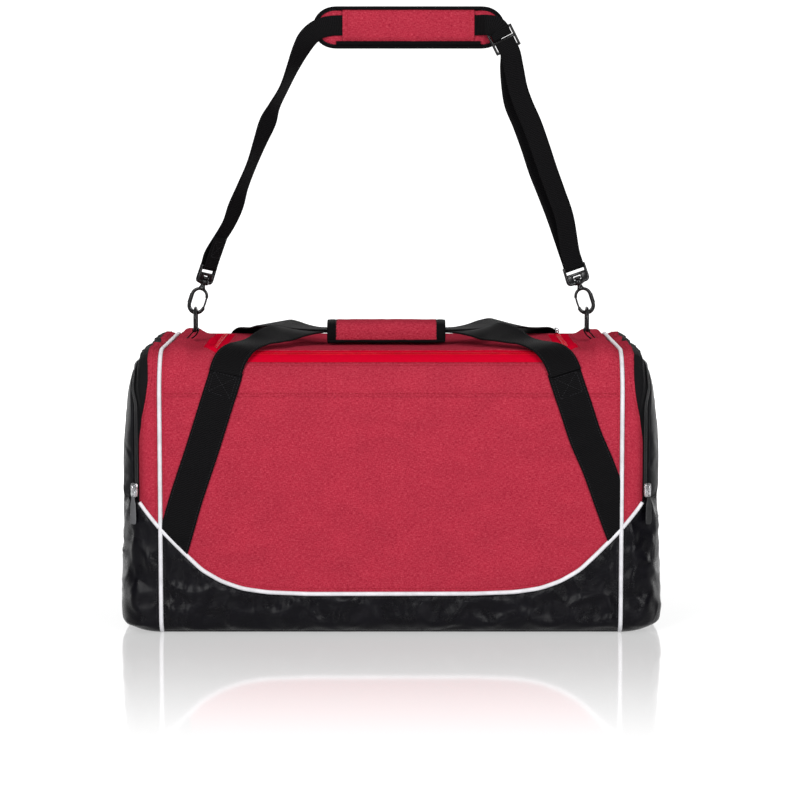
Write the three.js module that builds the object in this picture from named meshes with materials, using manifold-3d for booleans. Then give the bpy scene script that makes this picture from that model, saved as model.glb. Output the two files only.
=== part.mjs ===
// Zip-top kit bag (hockey equipment holdall) with end pockets, two carry
// handles, a wrap-round grip and a clip-on shoulder strap.
// Millimetres, +Z up, +X along the bag, -Y is the front. The origin is the
// centre of the footprint on the floor.
import * as THREE from 'three';
import { mergeVertices } from 'three/addons/utils/BufferGeometryUtils.js';
import { ConvexGeometry } from 'three/addons/geometries/ConvexGeometry.js';
import Module from 'manifold-3d';

const wasm = await Module();
wasm.setup();

// ---------------------------------------------------------------- dimensions
const LENGTH = 650;            // overall, over the end pockets
const MAIN_HALF = 278;         // half length of the straight main tube
const CAP = LENGTH / 2 - MAIN_HALF; // depth of each bulged end
const SHELL = 2.4;             // padded fabric wall
const GAP = 0.3;               // clearance between neighbouring pieces
const MAIN = { hd: 165, zb: 0, zt: 343, ry: 40, rz: 53, rb: 22 };   // tube section
const TIP = { hd: 122, zb: 12, zt: 252, ry: 60, rz: 88, rb: 20 };   // section at the very end
const SEAM_Z = 290;            // seam between the side panels and the top
const BASE_Z = 24;             // height the base cloth turns up the walls
const PIPE_HALF = 2.5;         // half width of a piping bead
const PIPE_PROUD = 2;          // how far a bead stands off the cloth
const CURVE = [[0, 51], [100, 51], [150, 53], [180, 57.5], [205, 66.5], [228, 80], [252, 103], [275.2, 126.5]];
const GUSSET = [278, 303];     // end gusset between the bead and the pocket zip
const GUSSET_CURVE = [[278, 129], [303, 160]];
const POCKET_Z = 166;          // bottom of the pocket opening
const POCKET_ZIP = [303, 311.7];
const U_HALF = 216;            // half width of the U shaped top zip
const U_FRONT = -138;          // front run of the U
const U_BACK = 124;            // where the legs of the U end
const U_R = 36;                // corner radius of the U
const HINGE_Y = 108;           // fold line at the back of the lid
const COIL_HALF = 2.7;
const TAPE = [3.0, 13.0];      // tape either side of the coil
const WEB = 40;                // carry webbing width
const WEB_T = 1.8;
const STRAP = 25;              // shoulder strap webbing width
const STRAP_T = 1.6;
const D_X = 246;               // D rings
const D_BAR_Z = 357, D_ARC_Z = 371, D_R = 14, D_WIRE = 2;
const HOOK_LEAN = 18;          // degrees, the hooks lean in towards the strap

// ------------------------------------------------------------------- helpers
const RAD = Math.PI / 180;
const lerp = (a, b, t) => a + (b - a) * t;
const V = (x, y, z) => new THREE.Vector3(x, y, z);

function toSolid(geometry) {
  let g = geometry.clone();
  for (const n of Object.keys(g.attributes)) if (n !== 'position') g.deleteAttribute(n);
  g = mergeVertices(g, 1e-4);
  const tri = [];
  const ix = g.index.array;
  for (let i = 0; i < ix.length; i += 3) {
    if (ix[i] !== ix[i + 1] && ix[i + 1] !== ix[i + 2] && ix[i] !== ix[i + 2]) tri.push(ix[i], ix[i + 1], ix[i + 2]);
  }
  const m = new wasm.Mesh({
    numProp: 3,
    vertProperties: Float32Array.from(g.attributes.position.array),
    triVerts: Uint32Array.from(tri),
  });
  m.merge();
  return new wasm.Manifold(m);
}

function polyPrism(points, low, high) {
  // a polygon in X, Y pushed up from low to high
  const shape = new THREE.Shape(points.map(([x, y]) => new THREE.Vector2(x, y)));
  const g = new THREE.ExtrudeGeometry(shape, { depth: high - low, bevelEnabled: false, steps: 1 });
  g.translate(0, 0, low);
  return toSolid(g);
}

function wallPrism(points, front, depth = 320) {
  // a polygon in X, Z pushed through the front (or the back) half of the bag
  const shape = new THREE.Shape(points.map(([x, z]) => new THREE.Vector2(x, z)));
  const g = new THREE.ExtrudeGeometry(shape, { depth, bevelEnabled: false, steps: 1 });
  g.rotateX(Math.PI / 2);
  const s = toSolid(g);
  return front ? s : s.mirror([0, 1, 0]);
}

function block(x0, x1, y0, y1, z0, z1) {
  const g = new THREE.BoxGeometry(x1 - x0, y1 - y0, z1 - z0);
  g.translate((x0 + x1) / 2, (y0 + y1) / 2, (z0 + z1) / 2);
  return toSolid(g);
}

function band(line, half) {
  // polygon of a flat strip of the given half width along a 2-D line
  const left = [], right = [];
  for (let i = 0; i < line.length; i++) {
    const a = line[Math.max(0, i - 1)], b = line[Math.min(line.length - 1, i + 1)];
    const d = Math.hypot(b[0] - a[0], b[1] - a[1]);
    const nx = -(b[1] - a[1]) / d, ny = (b[0] - a[0]) / d;
    left.push([line[i][0] + nx * half, line[i][1] + ny * half]);
    right.push([line[i][0] - nx * half, line[i][1] - ny * half]);
  }
  return [...left, ...right.reverse()];
}

function finish(name, solid, colour, rough = 0.8, metal = 0) {
  const m = solid.getMesh();
  const g = new THREE.BufferGeometry();
  const pos = new Float32Array(m.numVert * 3);
  for (let i = 0; i < m.numVert; i++) {
    for (let k = 0; k < 3; k++) pos[3 * i + k] = m.vertProperties[m.numProp * i + k];
  }
  g.setAttribute('position', new THREE.BufferAttribute(pos, 3));
  g.setIndex(new THREE.BufferAttribute(Uint32Array.from(m.triVerts), 1));
  g.computeVertexNormals();
  const mesh = new THREE.Mesh(g, new THREE.MeshStandardMaterial({ color: colour, roughness: rough, metalness: metal }));
  mesh.name = name;
  return mesh;
}

const group = new THREE.Group();
group.name = 'kit_bag';
const add = (name, solid, colour, rough, metal) => group.add(finish(name, solid, colour, rough, metal));

// ------------------------------------------------------------ body of the bag
function section(w, off) {
  const s = {};
  for (const k of Object.keys(MAIN)) s[k] = lerp(MAIN[k], TIP[k], w);
  s.hd += off; s.zt += off; s.zb -= off; s.ry += off; s.rz += off; s.rb += off;
  const pts = [];
  for (const side of [-1, 1]) {
    for (const a of [0, 30, 60, 90]) {          // lower corner
      pts.push([side * (s.hd - s.rb + s.rb * Math.cos(a * RAD)), s.zb + s.rb - s.rb * Math.sin(a * RAD)]);
    }
    for (const a of [0, 18, 36, 54, 72, 90]) {  // upper corner
      pts.push([side * (s.hd - s.ry + s.ry * Math.cos(a * RAD)), s.zt - s.rz + s.rz * Math.sin(a * RAD)]);
    }
  }
  return pts;
}

function hull(off) {
  const pts = [];
  for (const end of [-1, 1]) {
    for (const phi of [0, 22.5, 45, 67.5, 90]) {
      const x = end * (MAIN_HALF + (CAP + off) * Math.sin(phi * RAD));
      for (const [y, z] of section(1 - Math.cos(phi * RAD), off)) pts.push(V(x, y, z));
    }
  }
  return toSolid(new ConvexGeometry(pts));
}

const floor = block(-400, 400, -250, 250, 0, 500);
const skin = {};
const outer = (off) => (skin[off] ??= off > 0 ? hull(off).intersect(floor) : hull(off));
const shell = outer(0).subtract(outer(-SHELL));
const layer = (low, high) => outer(high).subtract(outer(low));

const X0 = MAIN_HALF - PIPE_HALF - GAP;   // panels stop here, short of the end bead
const tube = block(-X0, X0, -250, 250, -10, 500);
const full = (line) => [...line.slice().reverse().map(([x, z]) => [-x, z]), ...line.slice(line[0][0] === 0 ? 1 : 0)];
const curve = full(CURVE);
const shifted = (line, dz) => line.map(([x, z]) => [x, z + dz]);
const wide = (line) => [[-290, line[0][1]], ...line, [290, line[line.length - 1][1]]];

const aboveCurve = (dz, top) => [...wide(shifted(curve, dz)), [290, top], [-290, top]];
const belowCurve = (dz, bottom) => [[-290, bottom], [290, bottom], ...wide(shifted(curve, dz)).reverse()];

const CLEAR = PIPE_HALF + GAP;
const RED = 0xa3283a, BLACK = 0x15151a, WHITE = 0xf0f0ee, ZIPRED = 0xd80f2a, WEBBING = 0x1b1b1e;

add('base_panel', shell.intersect(block(-X0, X0, -250, 250, -1, BASE_Z)), BLACK, 0.6);
add('base_board', polyPrism(
  (() => {
    const p = [], hx = 264, hy = 143, r = 20;
    for (const [cx, cy, a0] of [[hx - r, hy - r, 0], [-hx + r, hy - r, 90], [-hx + r, -hy + r, 180], [hx - r, -hy + r, 270]]) {
      for (const a of [0, 30, 60, 90]) p.push([cx + r * Math.cos((a0 + a) * RAD), cy + r * Math.sin((a0 + a) * RAD)]);
    }
    return p;
  })(), SHELL + GAP + 0.3, SHELL + GAP + 3.3), 0x2a2a2d, 0.7);

for (const front of [true, false]) {
  const side = front ? 'front' : 'back';
  const cut = (poly) => wallPrism(poly, front);
  add(`${side}_lower_panel`, shell.intersect(tube).intersect(cut(belowCurve(-CLEAR, BASE_Z + GAP))), BLACK, 0.35);
  add(`${side}_piping`, layer(-SHELL, PIPE_PROUD).intersect(tube)
    .intersect(cut([...wide(shifted(curve, -PIPE_HALF)), ...wide(shifted(curve, PIPE_HALF)).reverse()])), WHITE, 0.5);
  add(`${side}_panel`, shell.intersect(tube).intersect(cut(aboveCurve(CLEAR, SEAM_Z - GAP))), RED);
}

// -------------------------------------------------------------- top, zip, lid
function uShape(d, back) {
  // plan of everything inside the line that runs at distance d outside the U
  const hx = U_HALF + d, y0 = U_FRONT - d, r = U_R + d;
  const p = [[hx, back], [-hx, back]];
  for (let a = 180; a <= 270; a += 15) p.push([-hx + r + r * Math.cos(a * RAD), y0 + r + r * Math.sin(a * RAD)]);
  for (let a = 270; a <= 360; a += 15) p.push([hx - r + r * Math.cos(a * RAD), y0 + r + r * Math.sin(a * RAD)]);
  return p;
}
const plan = (d, back) => polyPrism(uShape(d, back), SEAM_Z, 420);
const topSlab = block(-X0, X0, -250, 250, SEAM_Z, 420);
const lidArea = polyPrism([[-(U_HALF - TAPE[0]), -60], [U_HALF - TAPE[0], -60], [U_HALF - TAPE[0], HINGE_Y], [-(U_HALF - TAPE[0]), HINGE_Y]], SEAM_Z, 420);

add('top_surround', shell.intersect(topSlab)
  .subtract(plan(TAPE[1] + GAP, U_BACK + GAP))
  .add(shell.intersect(block(-(U_HALF - TAPE[0] - GAP), U_HALF - TAPE[0] - GAP, HINGE_Y, U_BACK + 2, SEAM_Z, 420))), RED);
add('main_zip_outer_tape', shell.intersect(plan(TAPE[1], U_BACK)).subtract(plan(TAPE[0], U_BACK + 5)), ZIPRED, 0.6);
add('main_zip_coil', layer(-2, 1.4).intersect(plan(COIL_HALF, U_BACK)).subtract(plan(-COIL_HALF, U_BACK + 5)), 0x8d0b1c, 0.4);
const lidBack = HINGE_Y - GAP;
add('main_zip_inner_tape', shell.intersect(plan(-TAPE[0], lidBack)).subtract(plan(-TAPE[1], lidBack + 5)), ZIPRED, 0.6);
add('lid_panel', shell.intersect(plan(-TAPE[1] - GAP, lidBack)), RED);

// ------------------------------------------------------------------ the ends
for (const s of [-1, 1]) {
  const side = s < 0 ? 'left' : 'right';
  const span = (a, b) => (s < 0 ? block(-b, -a, -250, 250, -1, 420) : block(a, b, -250, 250, -1, 420));
  const place = (solid) => (s < 0 ? solid.mirror([1, 0, 0]) : solid);
  add(`${side}_divider`, outer(-SHELL - GAP).intersect(span(MAIN_HALF - 1, MAIN_HALF + 1)), 0x3a3a3e, 0.8);
  const gs = MAIN_HALF + CLEAR;
  const line = GUSSET_CURVE;
  const upper = block(gs, GUSSET[1] - GAP, -250, 250, -1, 420);
  const rise = (dz, top) => {
    // wedge above the sloping gusset bead
    const shape = [[line[0][0], line[0][1] + dz], [line[1][0], line[1][1] + dz], [line[1][0], top], [line[0][0], top]];
    return wallPrism(shape, true).add(wallPrism(shape, false));
  };
  const gussetUp = shell.intersect(upper).intersect(rise(CLEAR, 420));
  add(`${side}_gusset`, place(gussetUp), RED);
  const lowShape = [[line[0][0], -5], [340, -5], [340, POCKET_Z - GAP], [line[1][0], POCKET_Z - GAP], [line[1][0], line[1][1] - CLEAR], [line[0][0], line[0][1] - CLEAR]];
  const low = wallPrism(lowShape, true).add(wallPrism(lowShape, false)).intersect(block(gs, 340, -250, 250, -5, 420));
  add(`${side}_end_lower_panel`, place(shell.intersect(low)), BLACK, 0.35);
  // the ring of piping round the end, with the two short branches up the gusset
  const bead = [[line[0][0], line[0][1] - PIPE_HALF], [line[1][0], line[1][1] - PIPE_HALF], [line[1][0], line[1][1] + PIPE_HALF], [line[0][0], line[0][1] + PIPE_HALF]];
  const branches = wallPrism(bead, true).add(wallPrism(bead, false)).intersect(block(MAIN_HALF, GUSSET[1] - GAP, -250, 250, 0, 420));
  add(`${side}_end_piping`, place(layer(-SHELL, PIPE_PROUD).intersect(block(MAIN_HALF - PIPE_HALF, MAIN_HALF + PIPE_HALF, -250, 250, -10, 420).add(branches))), WHITE, 0.5);
  const zip = shell.intersect(block(POCKET_ZIP[0], POCKET_ZIP[1], -250, 250, POCKET_Z, 420))
    .add(layer(-0.5, 1.3).intersect(block(305.6, 309.2, -250, 250, POCKET_Z + 2, 420)));
  add(`${side}_pocket_zip`, place(zip), BLACK, 0.5);
  add(`${side}_pocket_flap`, place(shell.intersect(block(POCKET_ZIP[1] + GAP, 340, -250, 250, POCKET_Z, 420))), BLACK, 0.6);
}

// -------------------------------------------------- carry webbing on the body
const BAND_TOP = 345;
const leftLine = [[-269, 92], [-260, 120], [-247, 165], [-227, 225], [-208, 285], [-200, 310], [-197, 321]];
const rightLine = [[292, 95], [281, 120], [264, 165], [249.5, 205], [234, 241], [221.6, 278], [212, 306], [207.5, 320.5]];
for (const front of [true, false]) {
  const side = front ? 'front' : 'back';
  for (const [name, line] of [['left', leftLine], ['right', rightLine]]) {
    const area = wallPrism(band(line, WEB / 2), front)
      .intersect(wallPrism(aboveCurve(CLEAR, BAND_TOP), front))
      .intersect(tube);
    add(`${side}_${name}_webbing`, layer(0.3, 0.3 + WEB_T).intersect(area), WEBBING, 0.7);
  }
}

// ------------------------------------------------------------------- ribbons
function ribbon(stations, width, thick) {
  // stations: [centre, width direction]; a flat strip with square ends
  const n = stations.length, ring = [];
  for (let i = 0; i < n; i++) {
    const a = stations[Math.max(0, i - 1)][0], b = stations[Math.min(n - 1, i + 1)][0];
    const t = b.clone().sub(a).normalize();
    const w = stations[i][1].clone();
    w.sub(t.clone().multiplyScalar(w.dot(t))).normalize();
    const m = t.clone().cross(w).normalize();
    const c = stations[i][0], hw = (stations[i][2] ?? width) / 2, ht = thick / 2;
    ring.push([[-1, -1], [1, -1], [1, 1], [-1, 1]].map(([u, v]) => c.clone().addScaledVector(w, u * hw).addScaledVector(m, v * ht)));
  }
  const pos = [], idx = [];
  ring.forEach((r) => r.forEach((p) => pos.push(p.x, p.y, p.z)));
  for (let i = 0; i + 1 < n; i++) {
    for (let k = 0; k < 4; k++) {
      const a = 4 * i + k, b = 4 * i + (k + 1) % 4, c = a + 4, d = b + 4;
      idx.push(a, b, d, a, d, c);
    }
  }
  const e = 4 * (n - 1);
  idx.push(0, 2, 1, 0, 3, 2, e, e + 1, e + 2, e, e + 2, e + 3);
  const g = new THREE.BufferGeometry();
  g.setAttribute('position', new THREE.BufferAttribute(Float32Array.from(pos), 3));
  g.setIndex(idx);
  const s = toSolid(g);
  return s;
}

function smooth(points, count) {
  return new THREE.CatmullRomCurve3(points, false, 'centripetal').getSpacedPoints(count);
}

// free part of the handles: station = point and outward normal
function handle(stations, count) {
  const path = smooth(stations.map((s) => V(...s[0])), count);
  const ctrl = stations.map((s) => V(...s[0]));
  const at = (p) => {
    // outward normal interpolated between the two nearest stations
    let best = 0, bd = 1e9, bt = 0;
    for (let i = 0; i + 1 < ctrl.length; i++) {
      const d = ctrl[i + 1].clone().sub(ctrl[i]);
      const t = THREE.MathUtils.clamp(p.clone().sub(ctrl[i]).dot(d) / d.lengthSq(), 0, 1);
      const q = ctrl[i].clone().addScaledVector(d, t).distanceTo(p);
      if (q < bd) { bd = q; best = i; bt = t; }
    }
    return V(...stations[best][1]).lerp(V(...stations[best + 1][1]), bt).normalize();
  };
  const out = path.map((p, i) => {
    const a = path[Math.max(0, i - 1)], b = path[Math.min(path.length - 1, i + 1)];
    const t = b.clone().sub(a).normalize();
    return [p, t.cross(at(p)).normalize()];
  });
  return ribbon(out, WEB, WEB_T);
}

// a station over the rounded top edge: angle round the corner and height off it
const edge = (x, angle, off, side) => {
  const c = Math.cos(angle * RAD), d = Math.sin(angle * RAD), l = Math.hypot(c / MAIN.ry, d / MAIN.rz);
  return [[x, side * (MAIN.hd - MAIN.ry + (MAIN.ry + off) * c), SEAM_Z + (MAIN.rz + off) * d],
    [0, side * c / MAIN.ry / l, d / MAIN.rz / l]];
};
const UP = [0, 0, 1];
const FRONT_HANDLE = [
  edge(-196.2, 39.5, 1.9, -1), edge(-193, 51, 2.4, -1), edge(-187.5, 63, 3.6, -1), edge(-179, 77, 5.4, -1),
  [[-161, -110, 350.6], UP], [[-133, -75, 354], UP], [[-110, -46, 357.2], UP], [[-93, -31, 358.2], UP],
  [[-78, -27.2, 358.2], UP], [[-60, -27, 358.2], UP], [[48, -27, 358.2], UP], [[66, -27.2, 358.2], UP], [[81, -31, 358.2], UP],
  [[99, -44, 357.2], UP], [[128, -72, 354.5], UP], [[163, -106, 351.4], UP],
  edge(186.5, 77, 5.4, -1), edge(196, 63, 3.6, -1), edge(202.3, 51, 2.4, -1), edge(206.2, 39.5, 1.9, -1),
];
const BACK_HANDLE = [
  edge(-196.2, 39.5, 1.9, 1), edge(-193.4, 51, 2.4, 1), edge(-189, 63, 3.6, 1), edge(-182, 77, 5.4, 1),
  [[-168, 106, 351.2], UP], [[-148, 58, 356.5], UP], [[-125, 12, 360], UP], [[-105, -16, 360.3], UP],
  [[-84, -26, 360.3], UP], [[-62, -27, 360.3], UP], [[50, -27, 360.3], UP], [[72, -26, 360.3], UP], [[93, -16, 360.3], UP],
  [[113, 12, 360], UP], [[140, 58, 356.5], UP], [[170, 106, 351.2], UP],
  edge(188, 77, 5.4, 1), edge(197, 63, 3.6, 1), edge(202.6, 51, 2.4, 1), edge(206.2, 39.5, 1.9, 1),
];
add('front_handle_webbing', handle(FRONT_HANDLE, 40), WEBBING, 0.7);
add('back_handle_webbing', handle(BACK_HANDLE, 40), WEBBING, 0.7);

// ---------------------------------------------------------------------- grip
const GRIP = { x0: -80, x1: 68, y: -27, half: 23.5, bottom: 344.6, top: 371.5 };
function rounded(list, x0, x1) {
  // list: polygon in Y, Z pushed along X
  const shape = new THREE.Shape(list.map(([y, z]) => new THREE.Vector2(y, z)));
  const g = new THREE.ExtrudeGeometry(shape, { depth: x1 - x0, bevelEnabled: false, steps: 1 });
  // shape x -> Y, shape y -> Z, depth -> X
  g.applyMatrix4(new THREE.Matrix4().set(0, 0, 1, x0, 1, 0, 0, 0, 0, 1, 0, 0, 0, 0, 0, 1));
  return toSolid(g);
}
function arcPoly(y, half, z0, z1, rTop, rBottom) {
  const p = [];
  const corner = (cy, cz, r, a0) => {
    if (r <= 0) { p.push([cy, cz]); return; }
    for (let a = 0; a <= 90; a += 22.5) p.push([cy + r * Math.cos((a0 + a) * RAD), cz + r * Math.sin((a0 + a) * RAD)]);
  };
  corner(y + half - rTop, z1 - rTop, rTop, 0);
  corner(y - half + rTop, z1 - rTop, rTop, 90);
  corner(y - half + rBottom, z0 + rBottom, rBottom, 180);
  corner(y + half - rBottom, z0 + rBottom, rBottom, 270);
  return p;
}
add('grip_lower', rounded(arcPoly(GRIP.y, GRIP.half, GRIP.bottom, 357.0, 0, 8), GRIP.x0, GRIP.x1), RED);
add('grip_flap', rounded(arcPoly(GRIP.y, GRIP.half, 361.5, GRIP.top, 8, 0), GRIP.x0, GRIP.x1), RED);

// -------------------------------------------------------- D rings and anchors
function tubeLoop(points, radius, segs) {
  const path = new THREE.CatmullRomCurve3(points, true, 'catmullrom', 0.5);
  return toSolid(new THREE.TubeGeometry(path, segs, radius, 6, true));
}
function extrudeY(list, y0, y1) {
  // polygon in X, Z pushed along Y
  const shape = new THREE.Shape(list.map(([x, z]) => new THREE.Vector2(x, z)));
  const g = new THREE.ExtrudeGeometry(shape, { depth: y1 - y0, bevelEnabled: false, steps: 1 });
  g.rotateX(Math.PI / 2);
  g.translate(0, y1, 0);
  return toSolid(g);
}
const ringPoly = (cx, cz, r, n, a0 = 0) => Array.from({ length: n }, (_, i) => [cx + r * Math.cos(a0 + 2 * Math.PI * i / n), cz + r * Math.sin(a0 + 2 * Math.PI * i / n)]);

for (const s of [-1, 1]) {
  const side = s < 0 ? 'left' : 'right';
  const X = s * D_X;
  const loop = [];
  for (let a = 0; a <= 180; a += 20) loop.push(V(X, D_R * Math.cos(a * RAD), D_ARC_Z + D_R * Math.sin(a * RAD)));
  loop.push(V(X, -D_R, D_BAR_Z + 4), V(X, -D_R + 1.4, D_BAR_Z + 0.8), V(X, -D_R + 5, D_BAR_Z), V(X, 0, D_BAR_Z), V(X, D_R - 5, D_BAR_Z), V(X, D_R - 1.4, D_BAR_Z + 0.8), V(X, D_R, D_BAR_Z + 4));
  add(`${side}_d_ring`, tubeLoop(loop, D_WIRE, 32), 0x111113, 0.35, 0.6);
  // webbing loop round the D bar, running down to a patch on the top
  const R = D_WIRE + 0.4 + 1.7;
  const eye = extrudeY(ringPoly(X, D_BAR_Z, R, 16), -8.5, 8.5);
  const tail = extrudeY(s < 0
    ? [[X - R, D_BAR_Z + 0.5], [X - R - 9, 345.2], [X - 27, 345.2], [X - 27, 343.3], [X - R - 3, 343.3], [X + 1.5, D_BAR_Z - R + 0.4]]
    : [[X + R, D_BAR_Z + 0.5], [X - 1.5, D_BAR_Z - R + 0.4], [X + R + 3, 343.3], [X + 27, 343.3], [X + 27, 345.2], [X + R + 9, 345.2]], -8.5, 8.5);
  const hole = extrudeY(ringPoly(X, D_BAR_Z, D_WIRE + 0.4, 16), -12, 12);
  add(`${side}_d_ring_tab`, eye.add(tail).subtract(hole), WEBBING, 0.7);
}

// ------------------------------------------------------------- snap hooks
// Built in a local frame: the D bar at the origin, the shank along +Z, the
// gate on +X; then leant and moved on to the D ring.
const HOOK = { inner: 7, outer: 11.5, low: -7.8, eye: -3.3, top: 27.5, eyeTop: 21.5, thick: 5 };
function stadium(half, z0, z1, n = 8) {
  const p = [];
  for (let i = 0; i <= n; i++) { const a = Math.PI * i / n; p.push([half * Math.cos(a), z1 - half + half * Math.sin(a)]); }
  for (let i = 0; i <= n; i++) { const a = Math.PI + Math.PI * i / n; p.push([half * Math.cos(a), z0 + half + half * Math.sin(a)]); }
  return p;
}
function turnY(solid, degrees) { return solid.rotate([0, degrees, 0]); }

const hookPlace = {};
for (const s of [-1, 1]) {
  const side = s < 0 ? 'left' : 'right';
  const lean = -s * HOOK_LEAN;                       // leans towards the middle
  const at = [s * D_X, 0, D_ARC_Z + D_R];
  hookPlace[side] = { at, lean };
  const put = (solid) => turnY(solid, lean).translate(at);
  const y = HOOK.thick / 2;
  const plate = extrudeY(stadium(HOOK.outer, HOOK.low, HOOK.top), -y, y)
    .subtract(extrudeY(stadium(HOOK.inner, HOOK.eye, HOOK.eyeTop), -y - 1, y + 1));
  const g = -s;                                      // gate faces the middle
  const gap = g > 0 ? block(HOOK.inner - 0.9, 20, -9, 9, 1.5, 19.5) : block(-20, -HOOK.inner + 0.9, -9, 9, 1.5, 19.5);
  const shank = (() => {
    const c = new THREE.CylinderGeometry(3, 3, 12, 12); c.rotateX(Math.PI / 2); c.translate(0, 0, 32.5);
    const d = new THREE.CylinderGeometry(4.6, 4.6, 3.5, 12); d.rotateX(Math.PI / 2); d.translate(0, 0, 39.9);
    return toSolid(c).add(toSolid(d));
  })();
  add(`${side}_hook`, put(plate.subtract(gap).add(shank)), 0x141416, 0.3, 0.3);
  const gx = g * (HOOK.inner + HOOK.outer) / 2;
  add(`${side}_hook_gate`, put(block(gx - 1.6, gx + 1.6, -1.9, 1.9, 1.9, 19.1)), 0x1d1d20, 0.3, 0.3);
  // swivel loop for the strap: a bridge round the shank, two legs and a bar
  const half = STRAP / 2 + 1.5;
  const turn = s < 0 ? 55 : 18;
  const bridge = block(-half - 3, half + 3, -3.2, 3.2, 31.6, 37.4).subtract((() => {
    const c = new THREE.CylinderGeometry(3.35, 3.35, 20, 12); c.rotateX(Math.PI / 2); c.translate(0, 0, 34); return toSolid(c);
  })()).add(block(-5.8, 5.8, -5.8, 5.8, 33.2, 36.6).subtract((() => {
    const c = new THREE.CylinderGeometry(3.35, 3.35, 20, 12); c.rotateX(Math.PI / 2); c.translate(0, 0, 34); return toSolid(c);
  })()));
  const legs = block(-half - 3, -half, -2.2, 2.2, 36, 56).add(block(half, half + 3, -2.2, 2.2, 36, 56));
  const bar = (() => {
    const c = new THREE.CylinderGeometry(2, 2, 2 * half + 6, 12); c.rotateZ(Math.PI / 2); c.translate(0, 0, 54); return toSolid(c);
  })();
  add(`${side}_swivel_loop`, put(bridge.add(legs).add(bar).rotate([0, 0, turn])), 0x141416, 0.35);
  hookPlace[side].turn = turn;
}

// ------------------------------------------------------------ shoulder strap
function frameOf(side) {
  const { at, lean, turn } = hookPlace[side];
  const q = new THREE.Quaternion().setFromEuler(new THREE.Euler(0, lean * RAD, 0))
    .multiply(new THREE.Quaternion().setFromAxisAngle(V(0, 0, 1), turn * RAD));
  return { o: V(...at), u: V(0, 0, 1).applyQuaternion(q), w: V(1, 0, 0).applyQuaternion(q), n: V(0, 1, 0).applyQuaternion(q) };
}
const BAR = 54, WRAP = 2 + 0.5 + STRAP_T / 2;
const local = (f, u, n) => f.o.clone().addScaledVector(f.u, u).addScaledVector(f.n, n);
const aroundBar = (f, from) => {
  // half turn under the loop's bar, from normal side `from` to the other
  const out = [];
  for (let a = 0; a <= 180; a += 30) {
    out.push([local(f, BAR - WRAP * Math.sin(a * RAD), from * WRAP * Math.cos(a * RAD)), f.w.clone()]);
  }
  return out;
};
const widthAt = (d, alpha, sgn = 1) => {
  // across the strap: in the X, Z plane turned out of it by alpha
  const p = V(-d.z, 0, d.x).normalize();
  return p.multiplyScalar(Math.cos(alpha * RAD)).add(V(0, sgn * Math.sin(alpha * RAD), 0)).normalize();
};
function leg(list, count, sgn = 1) {
  // list: [x, y, z, alpha] down the strap
  const pts = list.map((p) => V(p[0], p[1], p[2]));
  const c = new THREE.CatmullRomCurve3(pts, false, 'centripetal');
  const out = [];
  for (let i = 0; i <= count; i++) {
    const t = i / count, p = c.getPoint(t), d = c.getTangent(t);
    const k = Math.min(list.length - 2, Math.floor(t * (list.length - 1)));
    const f = t * (list.length - 1) - k;
    out.push([p, widthAt(V(d.x, 0, d.z).normalize(), lerp(list[k][3], list[k + 1][3], f), sgn)]);
  }
  return out;
}

const A = V(140, -4.6, 719.5), AD = V(0.45, 0, -0.893), AW = V(0.893, 0, 0.45);  // strap adjuster
const fl = frameOf('left'), fr = frameOf('right');
const adj = (u, n, w = 0) => { const p = A.clone().addScaledVector(AD, u).addScaledVector(AW, w); p.y += n; return [p.x, p.y, p.z]; };
{
  const top = local(fl, BAR + 16, WRAP + 0.3);
  const mainLeg = leg([
    [...adj(-2.5, -3.6), 0], [...adj(-8, -3.8), 0], [...adj(-15, -4.2), 0], [127.5, -8.9, 736.2, 0], [118.5, -8.6, 737.6, 0], [111, -3.8, 737.6, 0], [104.5, -0.1, 737.3, 0],
    [98, 0, 737.3, 0], [20, 0, 737.3, 0], [-60, 0, 737.3, 0], [-78, -0.4, 736.2, 0], [-92, -1.6, 731.5, 0], [-103.5, -4.2, 721.5, 12], [-112.5, -5, 706.5, 32],
    [-123, -3, 686, 50], [-134, 0, 660, 60], [-151, 0, 624, 58], [-167, 0, 585, 56], [-186, 0, 537, 56],
    [-203, 0, 492, 55], [top.x, top.y, top.z, 55], [...local(fl, BAR + 6, WRAP).toArray(), 55],
  ], 56);
  const wrap = aroundBar(fl, 1);
  const back = [[local(fl, BAR + 12, -WRAP), fl.w.clone()], [local(fl, BAR + 40, -WRAP - 1.2), fl.w.clone()]];
  add('strap_webbing', ribbon([...mainLeg, ...wrap, ...back], STRAP, STRAP_T), WEBBING, 0.7);
}
{
  const outerLeg = leg([
    [...adj(1.2, -3.6), 0], [...adj(9, -3.6), 0], [...adj(18, -3.4), 2], [152.6, -5.5, 684, 8], [158, -4.5, 659, 14], [164.5, -4, 640, 18],
    [176, -4, 615, 18], [186, -4, 586, 18], [196, -4, 557, 18], [206, -4, 530, 18], [216.5, -4, 500, 18],
    [...local(fr, BAR + 18, -WRAP - 0.4).toArray(), 18], [...local(fr, BAR + 6, -WRAP).toArray(), 18],
  ], 34);
  const wrap = aroundBar(fr, -1);
  const innerUp = leg([
    [...local(fr, BAR + 6, WRAP).toArray(), 18], [...local(fr, BAR + 18, WRAP + 0.6).toArray(), 18], [207, 6, 501, 18], [196, 8, 530, 18], [186, 8.5, 557, 18], [177, 8, 586, 18],
    [167, 7, 615, 18], [156.5, 5.2, 640, 15], [151.5, 2.8, 659, 10], [148, -0.2, 684, 4], [...adj(18, 3.4), 2], [...adj(9, 3.6), 0], [...adj(1.2, 3.6), 0],
  ], 34, -1).map(([p, w]) => [p, w.negate()]);
  add('strap_loop_webbing', ribbon([...outerLeg, ...wrap, ...innerUp], STRAP, STRAP_T), WEBBING, 0.7);
}

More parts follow.
